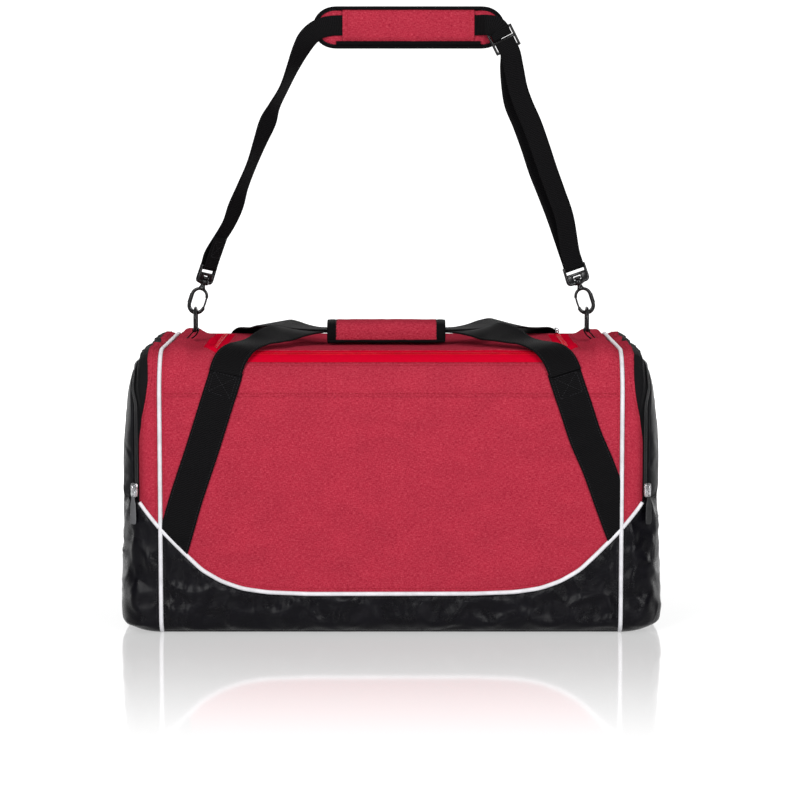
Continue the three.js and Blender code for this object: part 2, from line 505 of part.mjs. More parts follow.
// ladder-lock adjuster: a frame with a cross bar, face to the front
{
  const half = STRAP / 2 + 1, th = 2;
  const frame = block(-half - 3.2, half + 3.2, -th, th, -14.5, 14.5)
    .subtract(block(-half, half, -5, 5, -11, -2))
    .subtract(block(-half, half, -5, 5, 2, 11));
  const ang = Math.atan2(0.45, 0.893) / RAD;         // leans with the strap
  add('strap_adjuster', frame.rotate([0, -ang, 0]).translate([A.x, A.y, A.z]), 0x2b2b2e, 0.4);
}

// ------------------------------------------------------------- shoulder pad
const PAD = { x0: -97, x1: 141, z0: 709.5, z1: 760, y0: 1.3, y1: 9.3 };
{
  const cz = (PAD.z0 + PAD.z1) / 2, h = (PAD.z1 - PAD.z0) / 2;
  const p = [];
  const R = 27;                                       // blunt rounded ends
  for (let a = -90; a <= 90; a += 15) p.push([PAD.x1 - R + R * Math.cos(a * RAD), cz + h * Math.sin(a * RAD)]);
  for (let a = 90; a <= 270; a += 15) p.push([PAD.x0 + R + R * Math.cos(a * RAD), cz + h * Math.sin(a * RAD)]);
  add('pad_base', extrudeY(p, PAD.y0, PAD.y1), BLACK, 0.7);
  // cover: a shallow channel over the strap
  const x0 = -61, x1 = 104, z0 = 717.5, z1 = 757.5;
  const cover = block(x0, x1, -3.4, PAD.y0 - GAP, z0, z1).subtract(block(x0 - 5, x1 + 5, -1.2, 8, 723.2, 751.6));
  add('pad_cover', cover, RED);
}

// ------------------------------------------------------------- zip sliders
// local frame: the tape lies in X, Y with the slider on top, travel along +Y
function sliderBody(w, l, h) {
  const p = [[-w / 2 * 0.72, -l / 2], [w / 2 * 0.72, -l / 2], [w / 2, -l / 6], [w / 2, l / 2], [-w / 2, l / 2], [-w / 2, -l / 6]];
  const body = polyPrism(p, 0, h);
  const bridge = block(-1.2, 1.2, -l * 0.34, -l * 0.2, h - 0.5, h + 3.4)
    .add(block(-1.2, 1.2, l * 0.2, l * 0.34, h - 0.5, h + 3.4))
    .add(block(-1.2, 1.2, -l * 0.34, l * 0.34, h + 2.2, h + 3.4));
  return body.add(bridge);
}
function sliderPull(w, body, h, tag, length) {
  // a cross bar inside the bridge, two rails past it and a blade along -Y
  const a = pullAxis(body), far = Math.hypot(0.34 * body + a, 2.35) + 0.6;
  const low = h + 0.35, high = h + 1.75;
  const plate = polyPrism([[-w / 2, a - far - 1.8], [w / 2, a - far - 1.8], [w / 2, a + 0.7], [-w / 2, a + 0.7]], low, high)
    .subtract(block(-1.6, 1.6, a - far, a - 0.7, 0, 20));
  const b = a - far - 1;
  return plate.add(polyPrism([[-tag / 2, b - length], [tag / 2, b - length], [tag / 2, b - 2], [w / 2, b], [-w / 2, b], [-tag / 2, b - 2]], low, high));
}
function pullAxis(body) { return 1.4 - 0.2 * body; }
// main slider, parked at the back of the right leg of the U
const MS = { x: U_HALF, y: 117, z: 343 + 1.4 + GAP };
add('main_slider', sliderBody(5.4, 11, 2.6).translate([MS.x, MS.y, MS.z]), 0xb9bcc0, 0.3, 0.9);
add('main_slider_pull', sliderPull(5.2, 11, 2.6, 5.2, 26).rotate([0, 0, 180]).translate([MS.x, MS.y, MS.z]), 0x8c8f93, 0.4, 0.6);

for (const s of [-1, 1]) {
  const side = s < 0 ? 'left' : 'right';
  // outward direction of the wall at the pocket zip, in plan
  const phi = Math.asin((307.4 - MAIN_HALF) / CAP);
  const hd = lerp(MAIN.hd, TIP.hd, 1 - Math.cos(phi));
  const slope = (MAIN.hd - TIP.hd) * Math.sin(phi) / (CAP * Math.cos(phi));
  const beta = Math.atan(slope) / RAD;
  // local Z -> outward, local Y -> up, local X -> along the wall
  const put = (solid, z, off) => solid
    .rotate([90, 0, 0])                               // Z -> -Y, Y -> Z
    .rotate([0, 0, s * beta])
    .translate([s * (307.4 + off * Math.sin(beta * RAD)), -(hd + off * Math.cos(beta * RAD)), z]);
  const off = 1.3 + 0.9;
  add(`${side}_pocket_slider`, put(sliderBody(8, 15, 3), POCKET_Z + 10, off), 0xc4c7ca, 0.3, 0.9);
  add(`${side}_pocket_pull`, put(sliderPull(6, 15, 3, 7, 34), POCKET_Z + 10, off), s < 0 ? 0x77787c : 0x1c1c1f, 0.5);
}

export default group;
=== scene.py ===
"""Looks of the zip-top kit bag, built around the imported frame. Metres, -Y is the front, +Z up."""
import math

import bmesh
import bpy
import numpy as np
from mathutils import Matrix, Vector


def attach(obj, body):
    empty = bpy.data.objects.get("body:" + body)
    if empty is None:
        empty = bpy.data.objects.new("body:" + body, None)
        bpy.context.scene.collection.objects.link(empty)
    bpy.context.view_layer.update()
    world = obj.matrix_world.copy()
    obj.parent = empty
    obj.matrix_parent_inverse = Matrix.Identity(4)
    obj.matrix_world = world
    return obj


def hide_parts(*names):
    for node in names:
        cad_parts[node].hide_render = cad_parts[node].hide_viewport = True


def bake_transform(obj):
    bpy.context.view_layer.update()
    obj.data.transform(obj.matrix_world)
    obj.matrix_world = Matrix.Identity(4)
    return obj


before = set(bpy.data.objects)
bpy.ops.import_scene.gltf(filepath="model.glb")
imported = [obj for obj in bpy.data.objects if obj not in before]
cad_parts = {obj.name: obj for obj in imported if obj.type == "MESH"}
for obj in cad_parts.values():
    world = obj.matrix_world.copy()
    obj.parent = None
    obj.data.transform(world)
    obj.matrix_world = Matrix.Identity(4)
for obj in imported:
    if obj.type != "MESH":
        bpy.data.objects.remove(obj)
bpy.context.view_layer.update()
MM = 0.001
RAD = math.pi / 180.0


# ------------------------------------------------------------------ camera
def add_camera():
    e, dist = 6.0 * RAD, 3.2
    target = Vector((0.011, -0.165, 0.286))
    cam = bpy.data.cameras.new("camera")
    cam.lens, cam.sensor_width = 120.0, 36.0
    cam.clip_start, cam.clip_end = 0.05, 40.0
    obj = bpy.data.objects.new("camera", cam)
    obj.location = target + dist * Vector((0.0, -math.cos(e), math.sin(e)))
    obj.rotation_euler = (math.pi / 2 - e, 0.0, 0.0)
    bpy.context.collection.objects.link(obj)
    bpy.context.scene.camera = obj


add_camera()


# ------------------------------------------------------------ small helpers
def smooth(a, b, x):
    t = np.clip((x - a) / (b - a), 0.0, 1.0)
    return t * t * (3 - 2 * t)


def unit(v):
    v = np.asarray(v, float)
    n = np.linalg.norm(v, axis=-1, keepdims=True)
    return v / np.maximum(n, 1e-12)


def _hash(ix, iy, iz, seed):
    h = (ix * 374761393 + iy * 668265263 + iz * 2147483647 + seed * 974634777) & 0xFFFFFFFF
    h = ((h ^ (h >> 13)) * 1274126177) & 0xFFFFFFFF
    return h ^ (h >> 16)


def noise3(p, seed=0):
    """Gradient noise, about -1..1, one value for each row of p."""
    p = np.asarray(p, float)
    i = np.floor(p).astype(np.int64)
    f = p - i
    u = f * f * f * (f * (f * 6 - 15) + 10)
    total = np.zeros(len(p))
    for dx in (0, 1):
        for dy in (0, 1):
            for dz in (0, 1):
                h = _hash(i[:, 0] + dx, i[:, 1] + dy, i[:, 2] + dz, seed)
                a = (h & 0xFFFF) / 65536.0 * 2 * math.pi
                c = ((h >> 16) & 0xFFFF) / 32768.0 - 1.0
                s = np.sqrt(np.maximum(0, 1 - c * c))
                g = (np.cos(a) * s * (f[:, 0] - dx) + np.sin(a) * s * (f[:, 1] - dy) + c * (f[:, 2] - dz))
                w = ((u[:, 0] if dx else 1 - u[:, 0]) * (u[:, 1] if dy else 1 - u[:, 1]) * (u[:, 2] if dz else 1 - u[:, 2]))
                total += w * g
    return total * 1.6


def make_object(name, verts, faces, uv=None, mats=(), face_mat=None, shade=True):
    """verts in mm; uv is one pair for each vertex, in mm."""
    me = bpy.data.meshes.new(name)
    me.from_pydata([tuple(v) for v in (np.asarray(verts, float) * MM).tolist()], [], [tuple(int(i) for i in f) for f in faces])
    if uv is not None:
        layer = me.uv_layers.new(name="cloth")
        idx = np.empty(len(me.loops), dtype=np.int64)
        me.loops.foreach_get("vertex_index", idx)
        layer.data.foreach_set("uv", (np.asarray(uv, float)[idx] * MM * 10).astype(np.float32).ravel())
    for m in mats:
        me.materials.append(m)
    if face_mat is not None:
        me.polygons.foreach_set("material_index", np.asarray(face_mat, dtype=np.int32))
    me.polygons.foreach_set("use_smooth", [bool(shade)] * len(me.polygons))
    me.update()
    me.validate()
    obj = bpy.data.objects.new(name, me)
    bpy.context.collection.objects.link(obj)
    return obj


class Build:
    """Collects pieces of mesh, in mm, for one object."""

    def __init__(self):
        self.v, self.f, self.uv, self.m, self.n = [], [], [], [], 0

    def add(self, verts, faces, uv=None, mat=0):
        verts = np.asarray(verts, float)
        self.v.append(verts)
        self.uv.append(np.zeros((len(verts), 2)) if uv is None else np.asarray(uv, float))
        self.f += [tuple(int(i) + self.n for i in f) for f in faces]
        self.m += [mat] * len(faces)
        self.n += len(verts)
        return self

    def place(self, fn):
        self.v = [fn(v) for v in self.v]
        return self

    def join(self, other):
        for v, uv in zip(other.v, other.uv):
            self.v.append(v)
            self.uv.append(uv)
        self.f += [tuple(i + self.n for i in f) for f in other.f]
        self.m += other.m
        self.n += other.n
        return self

    def done(self, name, *mats, shade=True):
        return make_object(name, np.vstack(self.v), self.f, np.vstack(self.uv), mats, self.m, shade)


# -------------------------------------------------------------- the bag skin
MAIN_HALF, CAP = 278.0, 47.0
ARC = CAP * math.pi / 2
END_LEN = 118.0
CENTRE_Z = 132.0


def section(w, tau):
    """Outline of the bag, tau 0..10 from the middle of the base up the front, over the top and down the back."""
    hd, zb, zt = 165 - 43 * w, 12 * w, 343 - 91 * w
    ry, rz, rb = 40 + 20 * w, 53 + 35 * w, 22 - 2 * w
    side = np.where(tau <= 5, -1.0, 1.0)
    t = np.where(tau <= 5, tau, 10 - tau)
    a1 = np.clip(t - 1, 0, 1) * math.pi / 2
    a3 = np.clip(t - 3, 0, 1) * math.pi / 2
    y = np.where(t < 1, t * (hd - rb), np.where(t < 2, hd - rb + rb * np.sin(a1), np.where(t < 3, hd, np.where(t < 4, hd - ry + ry * np.cos(a3), (hd - ry) * (5 - t)))))
    z = np.where(t < 1, zb, np.where(t < 2, zb + rb - rb * np.cos(a1), np.where(t < 3, zb + rb + (zt - rz - zb - rb) * (t - 2), np.where(t < 4, zt - rz + rz * np.sin(a3), zt))))
    return side * y, z


def skin(e, tau):
    """Undeformed skin. e runs along the bag, past 278 round the end and then in over the end face."""
    e, tau = np.broadcast_arrays(np.asarray(e, float), np.asarray(tau, float))
    s, a = np.sign(e), np.abs(e)
    phi = np.clip((a - MAIN_HALF) / CAP, 0, math.pi / 2)
    k = 1 - np.clip((a - MAIN_HALF - ARC) / END_LEN, 0, 1)
    y, z = section(1 - np.cos(phi), tau)
    x = np.minimum(a, MAIN_HALF) + CAP * np.sin(phi)
    return np.stack([s * x, y * k, CENTRE_Z + (z - CENTRE_Z) * k], -1) if np.any(k < 1) else np.stack([s * x, y, z], -1)


def skin_normal(e, tau):
    e, tau = np.broadcast_arrays(np.asarray(e, float), np.asarray(tau, float))
    h, g = 0.6, 0.012
    du = skin(e + h, tau) - skin(e - h, tau)
    dv = skin(e, np.minimum(tau + g, 10)) - skin(e, np.maximum(tau - g, 0))
    n = np.cross(du, dv)
    n = unit(n)
    centre = np.stack([np.zeros_like(e), np.zeros_like(e), np.full_like(e, 150.0)], -1)
    flip = np.sum(n * (skin(e, tau) - centre), -1) < 0
    n[flip] *= -1
    return n


CURVE = np.array([(0, 51), (100, 51), (150, 53), (180, 57.5), (205, 66.5), (228, 80), (252, 103), (275.2, 126.5), (278, 129), (303, 160), (330, 193)], float)


def curve_z(x):
    return np.interp(np.abs(x), CURVE[:, 0], CURVE[:, 1])


def fold(p, direction, seed, sharp=3.0):
    """Ridged noise: long soft creases along `direction`."""
    n = 1 - np.abs(noise3(p * np.asarray(direction), seed))
    return np.power(np.clip(n, 0, 1), sharp)


def lift(P, N):
    """How far the cloth stands off the plain skin along its normal, in mm."""
    x, y, z = P[..., 0].ravel(), P[..., 1].ravel(), P[..., 2].ravel()
    n = N.reshape(-1, 3)
    flat = P.reshape(-1, 3)
    ax = np.abs(x)
    wall = np.clip(np.abs(n[:, 1]), 0, 1) ** 2
    top = np.clip(n[:, 2], 0, 1) ** 2
    end = np.clip(np.abs(n[:, 0]), 0, 1) ** 2
    low = smooth(4, 40, z)
    # the filled walls belly out between their seams
    belly = np.clip(1 - (ax / 286) ** 4, 0, 1)
    d = wall * 4.5 * belly * np.sin(np.pi * np.clip((z - 8) / 285, 0, 1)) ** 0.8
    d += wall * low * 1.7 * noise3(flat / np.array([150, 150, 110.0]), 3) * belly
    # soft long creases on the heather cloth
    above = smooth(0, 16, z - curve_z(x) - 4)
    body = wall * above * smooth(0, 26, 290 - z) * smooth(0, 20, 276 - ax)
    d += body * (1.5 * fold(flat, (1 / 95, 1 / 60, 1 / 46), 11, 4.0) + 0.6 * noise3(flat / np.array([34, 30, 26.0]), 5))
    d += body * smooth(215, 275, z) * 1.9 * (fold(flat, (1 / 70, 1 / 60, 1 / 22), 13, 3.0) - 0.3)
    # diagonal drag lines running out of the lower corners of the webbing
    for cx, cz, s in ((-250.0, 130.0, 1.0), (262.0, 160.0, -1.0)):
        r = np.hypot(x - cx, z - cz)
        along = (x - cx) * s * 0.8 + (z - cz) * 0.6
        across = -(x - cx) * s * 0.6 + (z - cz) * 0.8
        d += body * 0.8 * np.exp(-(across / 16) ** 2) * smooth(10, 50, along) * np.exp(-np.clip(along, 0, None) / 90) * np.sign(1)
        d -= body * 0.6 * np.exp(-((across - 24) / 14) ** 2) * smooth(10, 50, along) * np.exp(-np.clip(along, 0, None) / 80)
    # thin shiny cloth under the curve: many sharper wrinkles
    under = smooth(1, 9, curve_z(x) - z) * smooth(3, 15, z) * np.clip(wall + end, 0, 1) * (1 - 0.72 * smooth(306, 322, ax))
    warp = flat + 9 * np.stack([noise3(flat / 37, 21), noise3(flat / 37, 22), noise3(flat / 37, 23)], -1)
    d += under * (6.2 * (fold(warp, (1 / 44, 1 / 44, 1 / 30), 31, 2.2) - 0.45) + 3.2 * (fold(warp, (1 / 26, 1 / 26, 1 / 42), 33, 2.5) - 0.35) + 0.25 * noise3(flat / 12, 34))
    # puckers along the sewn curve
    dist = np.abs(z - curve_z(x))
    d += wall * 0.55 * np.sin(x / 2.6 + 2.2 * noise3(flat / 23, 41)) * np.exp(-dist / 9) * (0.5 + 0.5 * noise3(flat / 40, 43))
    # seam between side panel and top, and the end seams, pull in a little
    d -= 0.9 * wall * np.exp(-((z - 290) / 1.7) ** 2) * smooth(0, 6, 278 - ax)
    d += 0.5 * wall * np.exp(-((z - 299) / 6) ** 2) * (1 + 0.5 * noise3(flat / 30, 45))
    d += 0.3 * wall * np.sin(x / 3.1 + 2.0 * noise3(flat / 25, 47)) * np.exp(-((z - 290) / 6) ** 2)
    d -= 1.6 * np.exp(-((ax - 278) / 4.5) ** 2) * (1 - end) * np.where(z > 12, 1, 0)
    # shoulders of the top puff up beyond the zip, with a dimple at the D ring patch
    keep = smooth(12, 34, np.abs(y))
    d += top * 7.5 * smooth(238, 252, ax) * smooth(0, 20, 302 - ax) * keep * (0.8 + 0.35 * noise3(flat / 34, 51))
    puff = smooth(236, 250, ax) * (0.25 + 0.75 * keep) * (0.15 + 0.85 * smooth(2, 14, np.abs(ax - 278)))
    d += (top + 0.6 * wall) * smooth(296, 330, z) * puff * (2.0 * (fold(warp, (1 / 60, 1 / 26, 1 / 40), 53, 3.0) - 0.3))
    # the outer tape stands up in a roll where the zip turns back at each front corner
    qx, qy = ax - 180.0, -102.0 - y
    u = np.hypot(np.maximum(qx, 0), np.maximum(qy, 0)) + np.minimum(np.maximum(qx, qy), 0) - 36.0
    d += 9.0 * np.exp(-((u - 8.0) / 4.4) ** 2) * smooth(204, 214, ax) * np.where(x < 0, smooth(-34, 12, -y), smooth(82, 98, -y)) * np.clip(top + 0.6 * wall, 0, 1) * (0.85 + 0.3 * noise3(flat / 14, 65))
    # top cloth behind the lid and in front of the zip: light unevenness
    d += top * smooth(0, 12, np.abs(y) - 150 + 12) * 0.8 * noise3(flat / 28, 55)
    # the lid stays low under the carry handles and crowns at its free edge
    lid = (1 - smooth(200, 212, ax)) * smooth(-140, -118, y) * (1 - smooth(96, 112, y)) * top
    d += lid * (0.5 * noise3(flat / 40, 57) - 0.4 + 0.9 * fold(flat, (1 / 80, 1 / 34, 1), 59, 4.0) * smooth(90, 120, ax))
    # gussets and ends
    g = smooth(281, 288, ax) * smooth(0, 6, 303.5 - ax) * (1 - top * (1 - keep))
    d += g * above * (2.2 + 1.5 * (fold(warp, (1 / 30, 1 / 30, 1 / 44), 61, 3.0) - 0.4))
    d -= 1.6 * np.exp(-((ax - 304.0) / 3.0) ** 2) * (z > 150)
    out = smooth(311, 322, ax) * np.clip(1 - (np.abs(y) / 135) ** 4, 0, 1)
    d += end * out * 4.0 * np.sin(np.pi * np.clip((z - 166) / 96, 0, 1)) * (z > 166)
    d += end * out * 4.5 * np.sin(np.pi * np.clip((z - 14) / 150, 0, 1)) * (z <= 166)
    d += end * out * 1.8 * (fold(warp, (1 / 60, 1 / 34, 1 / 60), 63, 3.0) - 0.3) * smooth(16, 30, z) * smooth(0, 10, np.abs(z - 166))
    d -= end * 1.5 * np.exp(-((z - 166) / 4) ** 2)
    d += np.clip(wall + end, 0, 1) * 2.0 * smooth(286, 318, ax) * (1 - smooth(50, 130, z)) * smooth(2, 16, z)
    # the pocket's hood stands proud at the top corners
    d += 7.0 * smooth(286, 300, ax) * smooth(262, 300, z) * np.clip(1 - end ** 3, 0, 1)
    # the D ring tabs lie flat
    d *= 1 - 0.95 * smooth(222, 232, ax) * (1 - smooth(272, 280, ax)) * (1 - smooth(9, 17, np.abs(y))) * top
    # the outer corners of the foot are squarer than the plain skin
    d += 3.0 * smooth(288, 314, ax) * (1 - smooth(26, 64, z)) * smooth(2, 14, z)
    # the piped end seams and the pocket zips draw the cloth in
    m = smooth(1.5, 13, np.abs(ax - 278))
    d = d * m - 0.4 * (1 - m)
    hood = smooth(272, 300, z)
    m = np.where(z > 160, 1 - (1 - smooth(1.5, 8, np.abs(ax - 307.4))) * (1 - hood), 1.0)
    d = d * m - 0.7 * (1 - m)
    # the base is weighed flat
    d *= smooth(0.5, 10, z) + 0.0
    return d.reshape(P.shape[:-1])


def drape(P, N, off=0.0):
    Q = P + N * (lift(P, N) + off)[..., None]
    Q[..., 2] = np.maximum(Q[..., 2], 0.15)
    return Q


def make_skin():
    taus = []
    counts = (14, 7, 74, 18, 34)
    for seg, n in enumerate(counts):
        taus += [seg + i / n for i in range(n)]
    half = taus
    taus = np.array(half + [5.0] + [10 - t for t in half[::-1]])
    es = list(np.linspace(-MAIN_HALF, MAIN_HALF, 151))
    es += [MAIN_HALF + ARC * (i + 1) / 18 for i in range(18)] + [MAIN_HALF + ARC + END_LEN * (i + 1) / 26 for i in range(25)]
    es = [-v for v in es[151:]][::-1] + es
    es = np.array(es)
    E, T = np.meshgrid(es, taus, indexing="ij")
    P = skin(E, T)
    N = skin_normal(E, T)
    # the middle of each end face looks straight out
    flat_end = np.abs(E) > MAIN_HALF + ARC + END_LEN * 0.85
    N[flat_end] = np.stack([np.sign(E[flat_end]), 0 * E[flat_end], 0 * E[flat_end]], -1)
    D = drape(P, N)
    # smooth normals of the draped cloth; the first and last columns are one line
    D[:, -1] = D[:, 0]
    du = np.gradient(D, axis=0)
    dv = np.gradient(D, axis=1)
    dv[:, 0] = dv[:, -1] = (D[:, 1] - D[:, -2]) / 2
    n = unit(np.cross(du, dv))
    flip = np.sum(n * N, -1) < 0
    n[flip] *= -1
    arc = np.concatenate([[0], np.cumsum(np.linalg.norm(np.diff(skin(0 * taus, taus), axis=0), axis=1))])
    U = E
    Vv = np.broadcast_to(arc, E.shape)
    A = np.concatenate([P, D, n, U[..., None], Vv[..., None]], -1)
    ni, nj = E.shape
    idx = np.arange(ni * nj).reshape(ni, nj)
    idx[:, -1] = idx[:, 0]
    q = np.stack([idx[:-1, :-1], idx[1:, :-1], idx[1:, 1:], idx[:-1, 1:]], -1).reshape(-1, 4)
    A = A.reshape(-1, A.shape[-1])
    # a fan closes each end face
    fans = []
    for row, sgn in ((idx[0], -1.0), (idx[-1], 1.0)):
        c = A[row].mean(axis=0)
        c[:3] = (sgn * 325, 0, CENTRE_Z)
        A = np.vstack([A, c])
        k = len(A) - 1
        for a, b in zip(row[:-1], row[1:]):
            fans.append((a, b, k) if sgn > 0 else (b, a, k))
    return A, q, fans


def clip(A, quads, polys, f):
    """Keeps what has f >= 0 of a sheet; rows of A are blended along cut edges."""
    val = f(A[:, 0], A[:, 1], A[:, 2])
    val = np.where(np.abs(val) < 1e-7, 1e-7, val)
    ins = val > 0
    c = ins[quads].sum(1) if len(quads) else np.zeros(0)
    keep = quads[c == 4] if len(quads) else quads
    mixed = [tuple(q) for q in quads[(c > 0) & (c < 4)]] if len(quads) else []
    out, new, cache = [], [], {}
    base = len(A)

    def cut(i, j):
        key = (i, j) if i < j else (j, i)
        if key not in cache:
            a, b = key
            t = val[a] / (val[a] - val[b])
            new.append(A[a] + (A[b] - A[a]) * t)
            cache[key] = base + len(new) - 1
        return cache[key]

    for poly in mixed + list(polys):
        k = [bool(ins[i]) for i in poly]
        if all(k):
            out.append(poly)
            continue
        if not any(k):
            continue
        r = []
        m = len(poly)
        for n in range(m):
            i, j = poly[n], poly[(n + 1) % m]
            if k[n]:
                r.append(i)
            if k[n] != k[(n + 1) % m]:
                r.append(cut(i, j))
        if len(r) >= 3:
            out.append(tuple(r))
    if new:
        A = np.vstack([A, np.array(new)])
    return A, keep, out


def region(sheet, *funcs):
    A, quads, polys = sheet
    for f in funcs:
        A, quads, polys = clip(A, quads, polys, f)
    used = np.zeros(len(A), bool)
    if len(quads):
        used[quads.ravel()] = True
    for p in polys:
        used[list(p)] = True
    remap = np.cumsum(used) - 1
    A = A[used]
    faces = [tuple(remap[q]) for q in quads] + [tuple(int(remap[i]) for i in p) for p in polys]
    return A, faces


def outward(A, faces):
    """Turns all faces so that they look along the stored normal."""
    s = 0.0
    for f in faces[:: max(1, len(faces) // 400)]:
        a, b, c = A[f[0], 3:6], A[f[1], 3:6], A[f[2], 3:6]
        s += float(np.dot(np.cross(b - a, c - a), A[f[0], 6:9]))
    return faces if s >= 0 else [tuple(reversed(f)) for f in faces]


def thick(A, faces, low, high):
    """A sheet with real thickness: from low to high along the normal, in mm."""
    faces = outward(A, faces)
    n = len(A)
    outer = A[:, 3:6] + A[:, 6:9] * high
    inner = A[:, 3:6] + A[:, 6:9] * low
    inner[:, 2] = np.maximum(inner[:, 2], 0.1)
    edges = {}
    for f in faces:
        m = len(f)
        for k in range(m):
            edges[(f[k], f[(k + 1) % m])] = True
    rim = [(a, b) for (a, b) in edges if (b, a) not in edges]
    out = list(faces) + [tuple(i + n for i in reversed(f)) for f in faces] + [(b, a, a + n, b + n) for a, b in rim]
    face_kind = [0] * len(faces) + [1] * len(faces) + [0] * len(rim)
    return np.vstack([outer, inner]), out, np.vstack([A[:, 9:11], A[:, 9:11]]), face_kind


def panel(name, sheet, funcs, mats, body, low=-2.2, high=0.0, replaces=None, ride=True):
    A, faces = region(sheet, *funcs)
    v, f, uv, kinds = thick(A, faces, low, high)
    obj = make_object(name, v, f, uv, mats, [min(k, len(mats) - 1) for k in kinds])
    if ride:
        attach(obj, body)
    if replaces:
        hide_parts(*([replaces] if isinstance(replaces, str) else replaces))
    return obj


# --------------------------------------------------------------- materials
class Nodes:
    def __init__(self, name):
        self.mat = bpy.data.materials.new(name)
        self.mat.use_nodes = True
        self.t = self.mat.node_tree
        self.t.nodes.clear()
        self.out = self.t.nodes.new("ShaderNodeOutputMaterial")
        self.b = self.t.nodes.new("ShaderNodeBsdfPrincipled")
        self.t.links.new(self.b.outputs[0], self.out.inputs["Surface"])

    def link(self, value, socket):
        if isinstance(value, bpy.types.NodeSocket):
            self.t.links.new(value, socket)
        elif value is not None:
            socket.default_value = value
        return self

    def cloth(self):
        n = self.t.nodes.new("ShaderNodeUVMap")
        n.uv_map = "cloth"
        return n.outputs[0]

    def place(self):
        return self.t.nodes.new("ShaderNodeTexCoord").outputs["Object"]

    def scale(self, vec, s, shift=(0, 0, 0)):
        n = self.t.nodes.new("ShaderNodeMapping")
        self.link(vec, n.inputs["Vector"])
        n.inputs["Scale"].default_value = s
        n.inputs["Location"].default_value = shift
        return n.outputs[0]

    def noise(self, vec, scale=1.0, detail=2.0, rough=0.5, distortion=0.0):
        n = self.t.nodes.new("ShaderNodeTexNoise")
        self.link(vec, n.inputs["Vector"])
        n.inputs["Scale"].default_value = scale
        n.inputs["Detail"].default_value = detail
        n.inputs["Roughness"].default_value = rough
        n.inputs["Distortion"].default_value = distortion
        return n.outputs["Fac"]

    def math(self, op, a, b=None, c=None, clamp=False):
        n = self.t.nodes.new("ShaderNodeMath")
        n.operation = op
        n.use_clamp = clamp
        for i, v in enumerate((a, b, c)):
            if v is not None:
                self.link(v, n.inputs[i])
        return n.outputs[0]

    def split(self, vec):
        n = self.t.nodes.new("ShaderNodeSeparateXYZ")
        self.link(vec, n.inputs[0])
        return n.outputs

    def ramp(self, fac, *stops):
        n = self.t.nodes.new("ShaderNodeValToRGB")
        self.link(fac, n.inputs[0])
        r = n.color_ramp
        while len(r.elements) < len(stops):
            r.elements.new(0.5)
        for e, (pos, col) in zip(r.elements, stops):
            e.position = pos
            e.color = (*col, 1.0) if len(col) == 3 else col
        return n.outputs[0]

    def mix(self, fac, a, b, kind="MIX"):
        n = self.t.nodes.new("ShaderNodeMix")
        n.data_type = "RGBA"
        n.blend_type = kind
        self.link(fac, n.inputs[0])
        self.link((*a, 1.0) if isinstance(a, tuple) else a, n.inputs[6])
        self.link((*b, 1.0) if isinstance(b, tuple) else b, n.inputs[7])
        return n.outputs[2]

    def bump(self, height, strength, distance, normal=None):
        n = self.t.nodes.new("ShaderNodeBump")
        n.inputs["Strength"].default_value = strength
        n.inputs["Distance"].default_value = distance
        self.link(height, n.inputs["Height"])
        if normal is not None:
            self.link(normal, n.inputs["Normal"])
        return n.outputs[0]

    def set(self, color=None, rough=None, metal=None, normal=None, **fixed):
        if color is not None:
            self.link((*color, 1.0) if isinstance(color, tuple) else color, self.b.inputs["Base Color"])
        if rough is not None:
            self.link(rough, self.b.inputs["Roughness"])
        if metal is not None:
            self.b.inputs["Metallic"].default_value = metal
        if normal is not None:
            self.link(normal, self.b.inputs["Normal"])
        for k, v in fixed.items():
            self.b.inputs[k.replace("_", " ")].default_value = v
        return self.mat


def weave(n, uv, pitch):
    """Plain weave height, 0..1; uv is in units of 100 mm."""
    k = 2 * math.pi / (pitch / 100)
    x, y, _ = n.split(uv)
    sx = n.math("SINE", n.math("MULTIPLY", x, k))
    sy = n.math("SINE", n.math("MULTIPLY", y, k))
    return n.math("MULTIPLY_ADD", n.math("MULTIPLY", sx, sy), 0.5, 0.5)


def heather(name, dark, mid, light, pitch=1.5):
    n = Nodes(name)
    uv = n.cloth()
    weft = n.noise(n.scale(uv, (26, 120, 1)), 1.0, 3.0, 0.6)
    warp = n.noise(n.scale(uv, (130, 34, 1), (3.1, 7.7, 0)), 1.0, 3.0, 0.6)
    both = n.math("MULTIPLY_ADD", weft, 0.55, n.math("MULTIPLY", warp, 0.45))
    base = n.ramp(both, (0.33, dark), (0.5, mid), (0.67, light))
    cloudy = n.noise(n.scale(uv, (2.4, 3.0, 1)), 1.0, 3.0, 0.55)
    shade = n.ramp(cloudy, (0.3, (0.93, 0.93, 0.935)), (0.7, (1.05, 1.04, 1.04)))
    col = n.mix(1.0, base, shade, "MULTIPLY")
    slub = n.noise(n.scale(uv, (7, 150, 1), (1.7, 0, 0)), 1.0, 1.0, 0.5)
    col = n.mix(n.ramp(slub, (0.62, (0, 0, 0)), (0.72, (0.5, 0.5, 0.5))), col, light)
    w = weave(n, uv, pitch)
    # the weave's low points are painted darker towards the dark yarn: painted shade in the hollows of the weave
    col = n.mix(n.math("MULTIPLY", n.math("SUBTRACT", 1.0, w), 0.34), col, dark)
    h = n.math("MULTIPLY_ADD", both, 0.8, w)
    nor = n.bump(h, 0.55, 0.00035)
    nor = n.bump(n.noise(n.scale(uv, (9, 11, 1)), 1.0, 3.0, 0.6), 0.35, 0.0012, nor)
    rough = n.math("MULTIPLY_ADD", both, 0.22, 0.68)
    return n.set(col, rough, 0.0, nor, Sheen_Weight=0.0, Specular_IOR_Level=0.0)


